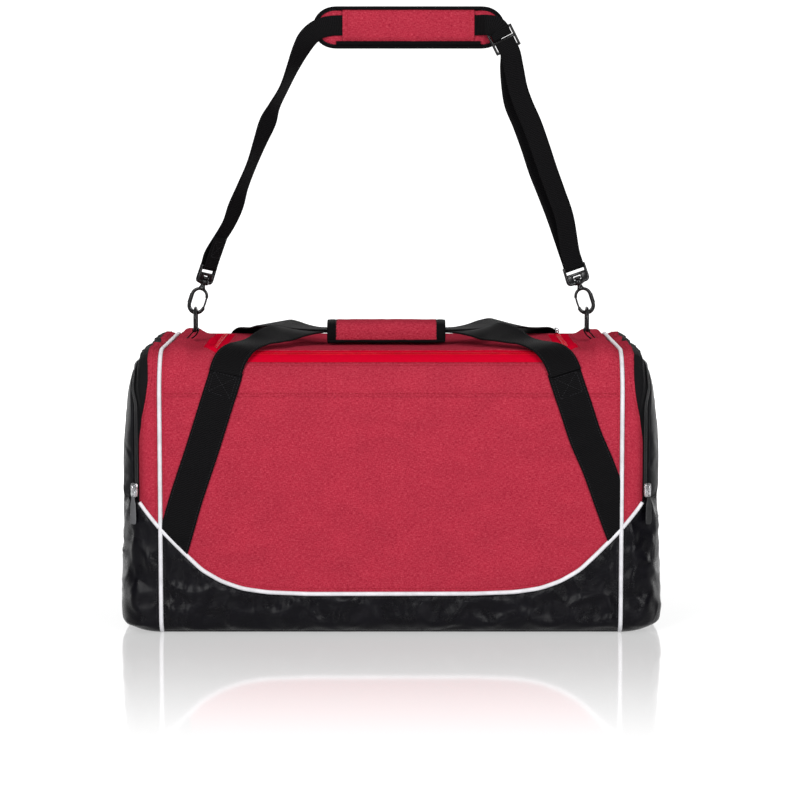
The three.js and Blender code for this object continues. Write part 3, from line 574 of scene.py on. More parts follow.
def nylon(name, base=(0.0022, 0.0020, 0.0031), rough=0.27):
    n = Nodes(name)
    uv = n.cloth()
    fine = weave(n, uv, 1.0)
    p = n.place()
    mottled = n.noise(n.scale(p, (50, 50, 66)), 1.0, 4.0, 0.6)
    crumple = n.noise(n.scale(p, (21, 21, 24)), 1.0, 1.0, 0.4, 1.1)
    col = n.mix(n.ramp(mottled, (0.35, (0, 0, 0)), (0.7, (1, 1, 1))), base, tuple(c * 1.7 for c in base))
    r = n.math("MULTIPLY_ADD", mottled, 0.2, rough - 0.08)
    nor = n.bump(crumple, 0.85, 0.0065)
    nor = n.bump(fine, 0.35, 0.00014, nor)
    return n.set(col, r, 0.0, nor, Specular_IOR_Level=0.11, Sheen_Weight=0.0)


def ribbed(name, base, across=1.9, along=2.4, rough=0.62, light=None, shine=0.035):
    """Webbing or tape: u runs across, v along. Ribs across with a fine herringbone."""
    n = Nodes(name)
    uv = n.cloth()
    x, y, _ = n.split(uv)
    chevron = n.math("PINGPONG", n.math("MULTIPLY", x, 100 / across), 1.0)
    rib = n.math("SINE", n.math("MULTIPLY", n.math("ADD", n.math("MULTIPLY", y, 100.0), n.math("MULTIPLY", chevron, 0.7)), 2 * math.pi / along))
    rib01 = n.math("MULTIPLY_ADD", rib, 0.5, 0.5)
    yarn = n.math("MULTIPLY_ADD", n.math("SINE", n.math("MULTIPLY", x, 2 * math.pi * 100 / (across * 0.5))), 0.5, 0.5)
    fuzz = n.noise(n.scale(uv, (60, 60, 1)), 1.0, 3.0, 0.6)
    light = light or tuple(min(1.0, c * 2.6 + 0.006) for c in base)
    # the rib tops are painted lighter than the grooves: painted sheen on the ribs, laid over random yarn fuzz
    fac = n.math("MULTIPLY_ADD", fuzz, 0.5, n.math("MULTIPLY", rib01, 0.35))
    col = n.mix(n.ramp(fac, (0.2, (0, 0, 0)), (0.85, (1, 1, 1))), base, light)
    h = n.math("ADD", n.math("MULTIPLY", rib01, 1.0), n.math("MULTIPLY", yarn, 0.4))
    nor = n.bump(h, 0.7, 0.0004)
    return n.set(col, n.math("MULTIPLY_ADD", fuzz, 0.2, rough - 0.1), 0.0, nor, Sheen_Weight=0.0, Specular_IOR_Level=shine)


def smooth_plastic(name, base, rough=0.34, grain=0.0001, coat=0.0, shine=0.4):
    n = Nodes(name)
    p = n.place()
    mottled = n.noise(p, 60.0, 3.0, 0.6)
    fine = n.noise(p, 1500.0, 2.0, 0.5)
    scuff = n.noise(n.scale(p, (900, 900, 120)), 1.0, 3.0, 0.6)
    col = n.mix(n.ramp(mottled, (0.3, (0, 0, 0)), (0.75, (1, 1, 1))), base, tuple(min(1, c * 1.35 + 0.002) for c in base))
    col = n.mix(n.ramp(scuff, (0.66, (0, 0, 0)), (0.76, (0.22, 0.22, 0.22))), col, tuple(min(1, c * 2 + 0.02) for c in base))
    nor = n.bump(fine, 0.4, grain)
    return n.set(col, n.math("MULTIPLY_ADD", mottled, 0.16, rough - 0.08), 0.0, nor, Specular_IOR_Level=shine, Coat_Weight=coat, Coat_Roughness=0.2)


def metal(name, base=(0.72, 0.72, 0.74), rough=0.2):
    n = Nodes(name)
    p = n.place()
    m = n.noise(p, 220.0, 4.0, 0.6)
    scratch = n.noise(n.scale(p, (3000, 3000, 260)), 1.0, 3.0, 0.6)
    col = n.mix(n.ramp(m, (0.3, (0, 0, 0)), (0.75, (1, 1, 1))), tuple(c * 0.82 for c in base), base)
    r = n.math("MULTIPLY_ADD", scratch, 0.22, n.math("MULTIPLY_ADD", m, 0.14, rough - 0.12))
    return n.set(col, r, 1.0, n.bump(scratch, 0.12, 0.0001))


RED = heather("heather_red", (0.198, 0.008, 0.0195), (0.365, 0.0245, 0.047), (0.52, 0.07, 0.098))
LINING = ribbed("lining_cloth", (0.030, 0.030, 0.034), 1.2, 1.2, 0.7)
BLACK = nylon("black_nylon")
FLAP = nylon("pocket_cloth", (0.0032, 0.0032, 0.0042), 0.42)
WEBBING = ribbed("black_webbing", (0.0009, 0.0009, 0.0011), 4.0, 2.1, 0.6, (0.0095, 0.0090, 0.0098))
BINDING = ribbed("black_binding", (0.0011, 0.0011, 0.0014), 1.6, 1.3, 0.62, (0.0085, 0.0083, 0.009))
RED_TAPE = ribbed("red_zip_tape", (0.50, 0.001, 0.016), 1.5, 1.2, 0.6, (0.61, 0.004, 0.028), 0.0)
RED_COIL = smooth_plastic("red_coil", (0.40, 0.002, 0.012), 0.45, 0.00005, 0.0, 0.03)
BLACK_TAPE = ribbed("black_zip_tape", (0.004, 0.004, 0.0045), 1.5, 1.2, 0.6, (0.013, 0.013, 0.014))
BLACK_COIL = smooth_plastic("black_coil", (0.010, 0.010, 0.011), 0.36, 0.00005)
PIPING = smooth_plastic("white_piping", (0.52, 0.515, 0.54), 0.4, 0.00012, 0.0, 0.3)
THREAD_RED = ribbed("red_thread", (0.30, 0.010, 0.022), 0.6, 0.6, 0.6, (0.42, 0.03, 0.045))
THREAD_BLACK = ribbed("black_thread", (0.016, 0.016, 0.018), 0.6, 0.6, 0.55, (0.05, 0.05, 0.054))
PLASTIC = smooth_plastic("black_acetal", (0.0042, 0.0040, 0.0046), 0.28, 0.00008, 0.0, 0.3)
GREY_PLASTIC = smooth_plastic("grey_acetal", (0.022, 0.022, 0.025), 0.36, 0.00008)
RUBBER_BLACK = smooth_plastic("black_rubber", (0.010, 0.010, 0.011), 0.5, 0.0002)
RUBBER_GREY = smooth_plastic("grey_rubber", (0.075, 0.075, 0.08), 0.5, 0.0002)
CHROME = metal("slider_metal")
CHROME_DARK = metal("slider_metal_dark", (0.33, 0.33, 0.35), 0.3)
BOARD = smooth_plastic("base_board_sheet", (0.03, 0.03, 0.032), 0.6, 0.0003)
FOAM = nylon("pad_mesh_cloth", (0.004, 0.004, 0.0046), 0.6)


# ------------------------------------------------- points on the draped bag
TAU_FRONT = np.concatenate([np.linspace(1.0, 1.98, 30), np.linspace(2, 3, 60)[:-1], np.linspace(3, 4, 60)])


def tau_at_z(x, z):
    """tau on the front for a height; x in the straight tube or round the end."""
    a = np.clip((np.abs(x) - MAIN_HALF) / CAP, 0, 1)
    w = 1 - math.sqrt(max(0.0, 1 - a * a))
    _, zz = section(w, TAU_FRONT)
    return float(np.interp(z, zz, TAU_FRONT))


def e_at_x(x):
    a = abs(x)
    if a <= MAIN_HALF:
        return x
    return math.copysign(MAIN_HALF + CAP * math.asin(min(1.0, (a - MAIN_HALF) / CAP)), x)


def tau_at_y(x, y):
    taus = np.linspace(3.0, 7.0, 240)
    a = np.clip((np.abs(x) - MAIN_HALF) / CAP, 0, 1)
    w = 1 - math.sqrt(max(0.0, 1 - a * a))
    yy, _ = section(w, taus)
    return float(np.interp(y, yy, taus))


def on_wall(points, side=-1.0, off=0.0):
    """Points (x, z) on the front (side -1) or back (+1) wall: draped points and normals."""
    e = np.array([e_at_x(x) for x, _ in points])
    t = np.array([tau_at_z(x, z) for x, z in points])
    if side > 0:
        t = 10 - t
    P, N = skin(e, t), skin_normal(e, t)
    return drape(P, N, off), N


def on_top(points, off=0.0):
    e = np.array([e_at_x(x) for x, _ in points])
    t = np.array([tau_at_y(x, y) for x, y in points])
    P, N = skin(e, t), skin_normal(e, t)
    return drape(P, N, off), N


def on_ring(x, taus, off=0.0):
    e = np.array([e_at_x(v) for v in np.broadcast_to(x, len(taus))])
    P, N = skin(e, taus), skin_normal(e, taus)
    return drape(P, N, off), N


def resample(points, step, closed=False):
    p = np.asarray(points, float)
    if closed:
        p = np.vstack([p, p[:1]])
    d = np.concatenate([[0], np.cumsum(np.linalg.norm(np.diff(p, axis=0), axis=1))])
    n = max(2, int(round(d[-1] / step)) + (0 if closed else 1))
    s = np.linspace(0, d[-1], n + (1 if closed else 0))
    if closed:
        s = s[:-1]
    return np.stack([np.interp(s, d, p[:, k]) for k in range(p.shape[1])], -1)


def spline(points, n):
    """Centripetal Catmull-Rom through the points, n+1 samples."""
    p = np.asarray(points, float)
    p = np.vstack([2 * p[0] - p[1], p, 2 * p[-1] - p[-2]])
    out = []
    m = len(p) - 3
    for i in range(m):
        p0, p1, p2, p3 = p[i], p[i + 1], p[i + 2], p[i + 3]
        t0 = 0.0
        t1 = t0 + max(1e-6, np.linalg.norm((p1 - p0)[:3])) ** 0.5
        t2 = t1 + max(1e-6, np.linalg.norm((p2 - p1)[:3])) ** 0.5
        t3 = t2 + max(1e-6, np.linalg.norm((p3 - p2)[:3])) ** 0.5
        k = max(1, n // m)
        for j in range(k + (1 if i == m - 1 else 0)):
            t = t1 + (t2 - t1) * j / k
            a1 = (t1 - t) / (t1 - t0) * p0 + (t - t0) / (t1 - t0) * p1
            a2 = (t2 - t) / (t2 - t1) * p1 + (t - t1) / (t2 - t1) * p2
            a3 = (t3 - t) / (t3 - t2) * p2 + (t - t2) / (t3 - t2) * p3
            b1 = (t2 - t) / (t2 - t0) * a1 + (t - t0) / (t2 - t0) * a2
            b2 = (t3 - t) / (t3 - t1) * a2 + (t - t1) / (t3 - t1) * a3
            out.append((t2 - t) / (t2 - t1) * b1 + (t - t1) / (t2 - t1) * b2)
    return np.array(out)


def sweep(points, normals, profile, closed=False, caps=True):
    """Pushes a profile (side, up pairs, mm) along points. up follows the normals. Returns verts, faces, uv."""
    p, nn = np.asarray(points, float), np.asarray(normals, float)
    n = len(p)
    if closed:
        t = unit(np.roll(p, -1, 0) - np.roll(p, 1, 0))
    else:
        t = unit(np.gradient(p, axis=0))
    up = unit(nn - np.sum(nn * t, -1, keepdims=True) * t)
    side = unit(np.cross(t, up))
    prof = np.asarray(profile, float)
    if prof.ndim == 2:
        prof = np.broadcast_to(prof, (n,) + prof.shape)
    m = prof.shape[1]
    v = p[:, None, :] + side[:, None, :] * prof[:, :, 0:1] + up[:, None, :] * prof[:, :, 1:2]
    arc = np.concatenate([[0], np.cumsum(np.linalg.norm(np.diff(p, axis=0), axis=1))])
    ring = np.concatenate([[0], np.cumsum(np.linalg.norm(np.diff(np.vstack([prof[0], prof[0][:1]]), axis=0), axis=1))])[:-1]
    uv = np.stack(np.broadcast_arrays(ring[None, :], arc[:, None]), -1)
    f = []
    for i in range(n if closed else n - 1):
        j = (i + 1) % n
        for k in range(m):
            l = (k + 1) % m
            f.append((i * m + k, i * m + l, j * m + l, j * m + k))
    if not closed and caps:
        f.append(tuple(range(m))[::-1])
        f.append(tuple((n - 1) * m + k for k in range(m)))
    return v.reshape(-1, 3), f, uv.reshape(-1, 2)


def circle(r, n=10, ry=None):
    ry = r if ry is None else ry
    return [(r * math.cos(2 * math.pi * k / n), ry * math.sin(2 * math.pi * k / n)) for k in range(n)]


def strap_profile(width, thick_, n=11, bow=0.0, edge=0.8):
    """Flat webbing with soft edges; bow lifts the middle."""
    h, t = width / 2, thick_ / 2
    xs = np.linspace(-h + edge, h - edge, n)
    top = [(x, t + bow * (1 - (x / h) ** 2)) for x in xs]
    bottom = [(x, -t + bow * (1 - (x / h) ** 2)) for x in xs[::-1]]
    return bottom + [(-h, -t * 0.45), (-h, t * 0.45)] + top + [(h, t * 0.45), (h, -t * 0.45)]


def stitches(build, points, normals, length=2.8, gap=1.3, radius=0.34, lift_=0.12, mat=0):
    """A row of sewn stitches lying on the surface."""
    p = np.asarray(points, float)
    d = np.concatenate([[0], np.cumsum(np.linalg.norm(np.diff(p, axis=0), axis=1))])
    n = int(d[-1] // (length + gap))
    shape = [(0.0, -0.2, 0.25), (0.18, 0.10, 0.85), (0.5, 0.22, 1.0), (0.82, 0.10, 0.85), (1.0, -0.2, 0.25)]
    for i in range(n):
        s0 = i * (length + gap) + gap / 2
        s = np.array([s0 + a[0] * length for a in shape])
        q = np.stack([np.interp(s, d, p[:, k]) for k in range(3)], -1)
        nn = unit(np.stack([np.interp(s, d, np.asarray(normals)[:, k]) for k in range(3)], -1))
        q = q + nn * (np.array([a[1] for a in shape])[:, None] * 0.8 + lift_)
        prof = np.array([[(radius * a[2] * c, radius * a[2] * 0.8 * s_) for c, s_ in circle(1, 5)] for a in shape])
        v, f, uv = sweep(q, nn, prof)
        build.add(v, f, uv, mat)


def rbox(x0, x1, y0, y1, z0, z1, r=0.8, seg=2):
    """Box with rounded edges, mm, as verts and faces."""
    bm = bmesh.new()
    bmesh.ops.create_cube(bm, size=1.0)
    for v in bm.verts:
        v.co = Vector(((x0 + x1) / 2 + v.co.x * (x1 - x0), (y0 + y1) / 2 + v.co.y * (y1 - y0), (z0 + z1) / 2 + v.co.z * (z1 - z0)))
    r = min(r, 0.48 * min(x1 - x0, y1 - y0, z1 - z0))
    bmesh.ops.bevel(bm, geom=list(bm.edges), offset=r, segments=seg, profile=0.5, affect="EDGES", clamp_overlap=True)
    bm.verts.index_update()
    v = np.array([tuple(q.co) for q in bm.verts])
    f = [tuple(q.index for q in face.verts) for face in bm.faces]
    bm.free()
    return v, f


def lathe(profile, n=20, axis=2):
    """Turns (radius, height) pairs about Z."""
    prof = np.asarray(profile, float)
    m = len(prof)
    a = np.arange(n) * 2 * math.pi / n
    v = np.stack([np.outer(np.cos(a), prof[:, 0]), np.outer(np.sin(a), prof[:, 0]), np.broadcast_to(prof[:, 1], (n, m))], -1).reshape(-1, 3)
    f = []
    for i in range(n):
        j = (i + 1) % n
        for k in range(m - 1):
            f.append((i * m + k, j * m + k, j * m + k + 1, i * m + k + 1))
    f.append(tuple(i * m for i in range(n))[::-1])
    f.append(tuple(i * m + m - 1 for i in range(n)))
    return v, f


def prism(points, z0, z1, r=0.4):
    """A flat polygon (x, y) with softened edges."""
    bm = bmesh.new()
    vs = [bm.verts.new((x, y, z0)) for x, y in points]
    face = bm.faces.new(vs)
    top = bmesh.ops.extrude_face_region(bm, geom=[face])
    for q in top["geom"]:
        if isinstance(q, bmesh.types.BMVert):
            q.co.z = z1
    bmesh.ops.recalc_face_normals(bm, faces=bm.faces)
    if r > 0:
        sharp = [ed for ed in bm.edges if abs(ed.verts[0].co.z - ed.verts[1].co.z) < 1e-6]
        bmesh.ops.bevel(bm, geom=sharp, offset=r, segments=2, profile=0.5, affect="EDGES", clamp_overlap=True)
    bm.verts.index_update()
    v = np.array([tuple(q.co) for q in bm.verts])
    f = [tuple(q.index for q in face.verts) for face in bm.faces]
    bm.free()
    return v, f


# ------------------------------------------------------------ bag: the cloth
SHEET = make_skin()
U_HALF, U_FRONT, U_R, U_BACK, HINGE_Y = 216.0, -138.0, 36.0, 124.0, 108.0
TAPE_IN, TAPE_OUT = 3.0, 13.0
PX = 276.4
POCKET_Z = 166.0


def u_dist(x, y):
    qx = np.abs(x) - (U_HALF - U_R)
    qy = (U_FRONT + U_R) - y
    return np.hypot(np.maximum(qx, 0), np.maximum(qy, 0)) + np.minimum(np.maximum(qx, qy), 0) - U_R


inside_tube = lambda x, y, z: PX - np.abs(x)
above = lambda x, y, z: z - (curve_z(x) + 1.4)
below = lambda x, y, z: (curve_z(x) - 1.4) - z

base = panel("base_cloth", SHEET, [inside_tube, lambda x, y, z: 4.0 - z], (BLACK, LINING), "bag", replaces="base_panel")
for side, sgn in (("front", -1.0), ("back", 1.0)):
    half = (lambda s: (lambda x, y, z: s * y))(sgn)
    o = panel(f"{side}_lower_cloth", SHEET, [inside_tube, half, lambda x, y, z: z - 4.0, below], (BLACK, LINING), "bag", replaces=f"{side}_lower_panel")
    o = panel(f"{side}_red_cloth", SHEET, [inside_tube, half, above, lambda x, y, z: 290.0 - z], (RED, LINING), "bag", replaces=f"{side}_panel")


def surround(x, y, z):
    u = u_dist(x, y)
    return np.maximum(np.maximum(u - TAPE_OUT, y - U_BACK), np.minimum(-TAPE_IN - u, y - 116.0))


upper = lambda x, y, z: z - 290.0
o = panel("top_cloth", SHEET, [inside_tube, upper, surround], (RED, LINING), "bag", replaces="top_surround")
o = panel("zip_tape_outer", SHEET, [upper, lambda x, y, z: U_BACK + 0.5 - y, lambda x, y, z: u_dist(x, y) - 1.4, lambda x, y, z: TAPE_OUT + 1.6 - u_dist(x, y)],
          (RED_TAPE,), "bag", low=-3.2, high=-0.7, replaces="main_zip_outer_tape")
o = panel("lid_cloth", SHEET, [upper, lambda x, y, z: 118.5 - y, lambda x, y, z: -TAPE_OUT - u_dist(x, y)], (RED, LINING), "lid", replaces="lid_panel", ride=False)
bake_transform(o)
o = panel("zip_tape_inner", SHEET, [upper, lambda x, y, z: 118.5 - y, lambda x, y, z: -1.4 - u_dist(x, y), lambda x, y, z: u_dist(x, y) + TAPE_OUT + 1.6],
          (RED_TAPE,), "lid", low=-3.2, high=-0.7, replaces="main_zip_inner_tape", ride=False)
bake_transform(o)

GUSSET_X = 303.0


def gusset_x(z):
    """Where the gusset ends; the black band round the pocket zip widens towards the top."""
    return GUSSET_X - 14.0 * smooth(228, 312, z)


low_line = lambda x: np.minimum(curve_z(x) - 1.4, POCKET_Z)
for side, sgn in (("left", -1.0), ("right", 1.0)):
    here = (lambda s: (lambda x, y, z: s * x - 279.6))(sgn)
    o = panel(f"{side}_gusset_cloth", SHEET, [here, lambda x, y, z: gusset_x(z) + 1.0 - np.abs(x), above], (RED, LINING), "bag", replaces=f"{side}_gusset")
    o = panel(f"{side}_end_lower_cloth", SHEET, [here, lambda x, y, z: low_line(x) - z], (BLACK, LINING), "bag", replaces=f"{side}_end_lower_panel")
    o = panel(f"{side}_pocket_tape", SHEET, [(lambda s: (lambda x, y, z: s * x - gusset_x(z)))(sgn), lambda x, y, z: 311.6 - np.abs(x), lambda x, y, z: z - low_line(x)],
              (BLACK_TAPE,), "bag", low=-3.0, high=-0.6)
    o = panel(f"{side}_flap_cloth", SHEET, [(lambda s: (lambda x, y, z: s * x - 311.9))(sgn), lambda x, y, z: z - POCKET_Z - 0.2], (FLAP, LINING), f"{side}_flap",
              replaces=f"{side}_pocket_flap", ride=False)
    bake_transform(o)

    # zip teeth up the front of the end, over the top and down the back
    B = Build()
    t0 = tau_at_z(307.4, POCKET_Z + 2)
    ts = np.linspace(t0, 10 - t0, 1400)
    path, nor = on_ring(sgn * 307.4, ts, 0.2)
    both = np.hstack([path, nor])
    fine = resample(both, 1.45)
    path, nor = fine[:, :3], unit(fine[:, 3:])
    t = unit(np.gradient(path, axis=0))
    s_ = unit(np.cross(t, nor))
    vb, fb = rbox(-0.55, 2.0, -0.5, 0.5, -0.55, 0.85, 0.28, 1)
    for i in range(len(path)):
        k = 1.0 if i % 2 else -1.0
        M = np.stack([s_[i] * k, t[i] * k, nor[i]], 0)
        B.add(vb @ M + path[i], fb)
    # the coil's cord along both sides
    for k in (-1.0, 1.0):
        q = path[::3] + s_[::3] * (1.75 * k)
        v, f, uv = sweep(q, nor[::3], circle(0.62, 6, 0.75))
        B.add(v, f, uv)
    o = B.done(f"{side}_pocket_coil", BLACK_COIL)
    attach(o, "bag")
    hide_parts(f"{side}_pocket_zip")

# ---- main zip teeth round the U
def u_line(d=0.0, step=1.6, back=U_BACK):
    hx, y0, r = U_HALF + d, U_FRONT - d, U_R + d
    pts = [(-hx, back)] + [(-hx, y) for y in np.linspace(back - 4, y0 + r, 60)]
    for a in np.linspace(180, 270, 20)[1:]:
        pts.append((-hx + r + r * math.cos(a * RAD), y0 + r + r * math.sin(a * RAD)))
    pts += [(x, y0) for x in np.linspace(-hx + r, hx - r, 90)[1:]]
    for a in np.linspace(270, 360, 20)[1:]:
        pts.append((hx - r + r * math.cos(a * RAD), y0 + r + r * math.sin(a * RAD)))
    pts += [(hx, y) for y in np.linspace(y0 + r, back - 4, 60)[1:]] + [(hx, back)]
    return resample(np.array(pts), step)


B = Build()
pts = u_line(0.0, 1.7)
path, nor = on_top(pts, -0.7)
t = unit(np.gradient(path, axis=0))
s_ = unit(np.cross(t, nor))
vb, fb = rbox(-0.7, 2.3, -0.62, 0.62, -0.8, 0.95, 0.3, 1)
for i in range(len(path)):
    k = 1.0 if i % 2 else -1.0
    M = np.stack([s_[i] * k, t[i] * k, nor[i]], 0)
    B.add(vb @ M + path[i], fb)
for k in (-1.0, 1.0):
    q = path[::3] + s_[::3] * (2.1 * k)
    v, f, uv = sweep(q, nor[::3], circle(0.75, 6, 0.85))
    B.add(v, f, uv)
# the woven strip below the teeth closes the slot
v, f, uv = sweep(path[::4], nor[::4], [(-3.1, -1.6), (3.1, -1.6), (3.1, -0.9), (-3.1, -0.9)])
B.add(v, f, uv, 1)
o = B.done("main_zip_teeth", RED_COIL, RED_TAPE)
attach(o, "bag")
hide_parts("main_zip_coil")

# ------------------------------------------------------------------- piping
def calm(p, width, closed=False):
    """Runs a soft average along the path, so that a cord doesn't follow every wrinkle."""
    w = np.hanning(2 * width + 3)[1:-1]
    w /= w.sum()
    ends = np.vstack([p[-width:], p, p[:width]]) if closed else np.vstack([2 * p[0] - p[1:width + 1][::-1], p, 2 * p[-1] - p[-width - 1:-1][::-1]])
    return np.stack([np.convolve(ends[:, k], w, "valid") for k in range(p.shape[1])], -1)


def bead(points, normals, r=2.55, closed=False, width=5):
    both = resample(np.hstack([points, normals * 0.01]), 2.2, closed)
    both = calm(both, width, closed)
    return sweep(both[:, :3], unit(both[:, 3:]), circle(r, 12), closed=closed)


for side, sgn in (("front", -1.0), ("back", 1.0)):
    xs = np.linspace(-277.5, 277.5, 260)
    p, n = on_wall([(x, float(curve_z(x))) for x in xs], sgn, 0.75)
    B = Build()
    v, f, uv = bead(p, n)
    B.add(v, f, uv)
    o = B.done(f"{side}_curve_piping", PIPING)
    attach(o, "bag")
    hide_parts(f"{side}_piping")

for side, sgn in (("left", -1.0), ("right", 1.0)):
    B = Build()
    taus = np.concatenate([np.linspace(0, 1, 30)[:-1], np.linspace(1, 2, 12)[:-1], np.linspace(2, 3, 70)[:-1], np.linspace(3, 4, 24)[:-1], np.linspace(4, 6, 70)[:-1],
                           np.linspace(6, 7, 24)[:-1], np.linspace(7, 8, 70)[:-1], np.linspace(8, 9, 12)[:-1], np.linspace(9, 10, 30)[:-1]])
    p, n = on_ring(sgn * 278.0, taus, 0.6)
    p[:, 2] = np.maximum(p[:, 2], 2.75)
    v, f, uv = bead(p, n, 2.6, closed=True)
    B.add(v, f, uv)
    for wall in (-1.0, 1.0):
        xs = np.linspace(279.5, 303.5, 26)
        p, n = on_wall([(sgn * x, float(curve_z(x))) for x in xs], wall, 0.6)
        v, f, uv = bead(p, n, 2.4)
        B.add(v, f, uv)
    o = B.done(f"{side}_end_piping_bead", PIPING)
    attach(o, "bag")
    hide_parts(f"{side}_end_piping")

# -------------------------------------------------- sewn seams and stitching
B = Build()
for sgn in (-1.0, 1.0):
    xs = np.linspace(-273, 273, 300)
    for dz in (3.6,):
        p, n = on_wall([(x, 290 + dz) for x in xs], sgn, 0.05)
        stitches(B, p, n, 2.9, 1.2, 0.36)
    p, n = on_wall([(x, float(curve_z(x)) + 6.4) for x in np.linspace(-272, 272, 300)], sgn, 0.05)
    stitches(B, p, n, 2.9, 1.2, 0.34)
for d in (TAPE_OUT + 3.0,):
    pts = u_line(d, 3.0, U_BACK)
    p, n = on_top(pts, 0.05)
    stitches(B, p, n, 2.9, 1.2, 0.36)
for sgn in (-1.0, 1.0):
    t0 = tau_at_z(299.5, float(curve_z(299.5)) + 5)
    ts = np.linspace(t0, 10 - t0, 260)
    p, n = on_ring(sgn * (gusset_x(skin(np.full(260, e_at_x(300)), ts)[:, 2]) - 3.2), ts, 0.05)
    stitches(B, p, n, 2.9, 1.2, 0.34)
    t0 = tau_at_z(283.0, float(curve_z(283.0)) + 5)
    p, n = on_ring(sgn * 283.6, np.linspace(t0, 10 - t0, 300), 0.05)
    stitches(B, p, n, 2.9, 1.2, 0.34)
    t0 = tau_at_z(272.5, float(curve_z(272.5)) + 5)
    p, n = on_ring(sgn * 272.6, np.linspace(t0, 10 - t0, 300), 0.05)
    stitches(B, p, n, 2.9, 1.2, 0.34)
o = B.done("red_stitching", THREAD_RED)
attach(o, "bag")
B = Build()
pts = u_line(-(TAPE_OUT + 3.0), 3.0, 114)
p, n = on_top(pts, 0.05)
stitches(B, p, n, 2.9, 1.2, 0.36)
o = B.done("lid_stitching", THREAD_RED)
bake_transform(o)
B = Build()
for sgn in (-1.0, 1.0):
    p, n = on_wall([(x, float(curve_z(x)) - 5.6) for x in np.linspace(-272, 272, 300)], sgn, 0.05)
    stitches(B, p, n, 2.9, 1.2, 0.32)
    for wall in (-1.0, 1.0):
        p, n = on_wall([(sgn * 283.4, z) for z in np.linspace(20, 126, 60)], wall, 0.05)
        stitches(B, p, n, 2.9, 1.2, 0.32)
        p, n = on_wall([(sgn * 272.8, z) for z in np.linspace(20, 118, 60)], wall, 0.05)
        stitches(B, p, n, 2.9, 1.2, 0.32)
o = B.done("black_stitching", THREAD_BLACK)
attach(o, "bag")


# --------------------------------------------------------------- inner walls
def end_uv(obj):
    """Cloth coordinates laid flat across the faces that look sideways."""
    me = obj.data
    layer = me.uv_layers["cloth"]
    for poly in me.polygons:
        if abs(poly.normal.x) > 0.75:
            for i in poly.loop_indices:
                co = me.vertices[me.loops[i].vertex_index].co
                layer.data[i].uv = (co.y * 10, co.z * 10)


for side in ("left", "right"):
    for part in ("end_lower_cloth", "flap_cloth"):
        end_uv(bpy.data.objects[f"{side}_{part}"])


def inner_wall(name, sgn, replaces):
    n_t = 96
    taus = np.linspace(0, 10, n_t + 1)[:-1]
    y, z = section(0.0, taus)
    cy, cz = 0.0, 171.0
    rings = np.linspace(1.0, 0.0, 26)[:-1]
    v, f, uv = [], [], []
    for k in rings:
        for yy, zz in zip(y, z):
            a, b = cy + (yy * 0.981 - cy) * k, cz + ((zz - 171) * 0.981 + 171 - cz) * k
            v.append((sgn * 278.0, a, b))
            uv.append((a, b))
    v.append((sgn * 278.0, cy, cz))
    uv.append((cy, cz))
    v = np.array(v)
    w = 2.2 * noise3(np.stack([np.full(len(v), 1.7 + sgn), v[:, 1] / 70, v[:, 2] / 55], -1), 71) + 1.1 * noise3(np.stack([np.full(len(v), 0.3), v[:, 1] / 26, v[:, 2] / 60], -1), 73)
    edge_ = np.repeat(np.append(rings, 0), [n_t] * len(rings) + [1])
    v[:, 0] += sgn * w * smooth(1.0, 0.8, edge_)
    m = len(rings)
    for i in range(m - 1):
        for j in range(n_t):
            k = (j + 1) % n_t
            f.append((i * n_t + j, i * n_t + k, (i + 1) * n_t + k, (i + 1) * n_t + j))
    for j in range(n_t):
        f.append(((m - 1) * n_t + j, (m - 1) * n_t + (j + 1) % n_t, m * n_t))
    A = np.hstack([v, v, np.tile([sgn, 0, 0], (len(v), 1)), np.array(uv)])
    vv, ff, uu, _ = thick(A, f, -0.6, 0.6)
    o = make_object(name, vv, ff, uu, (LINING,))
    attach(o, "bag")
    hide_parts(replaces)


inner_wall("left_inner_wall", -1.0, "left_divider")
inner_wall("right_inner_wall", 1.0, "right_divider")
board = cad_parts["base_board"]
for i in range(max(1, len(board.material_slots))):
    if not board.material_slots:
        board.data.materials.append(BOARD)
    board.material_slots[i].material = BOARD

# -------------------------------------------------- webbing sewn to the walls
LEFT_LINE = [(-269, 92), (-260, 120), (-247, 165), (-227, 225), (-208, 285), (-200, 310), (-197, 321)]
RIGHT_LINE = [(292, 95), (281, 120), (264, 165), (249.5, 205), (234, 241), (221.6, 278), (212, 306), (207.5, 320.5)]


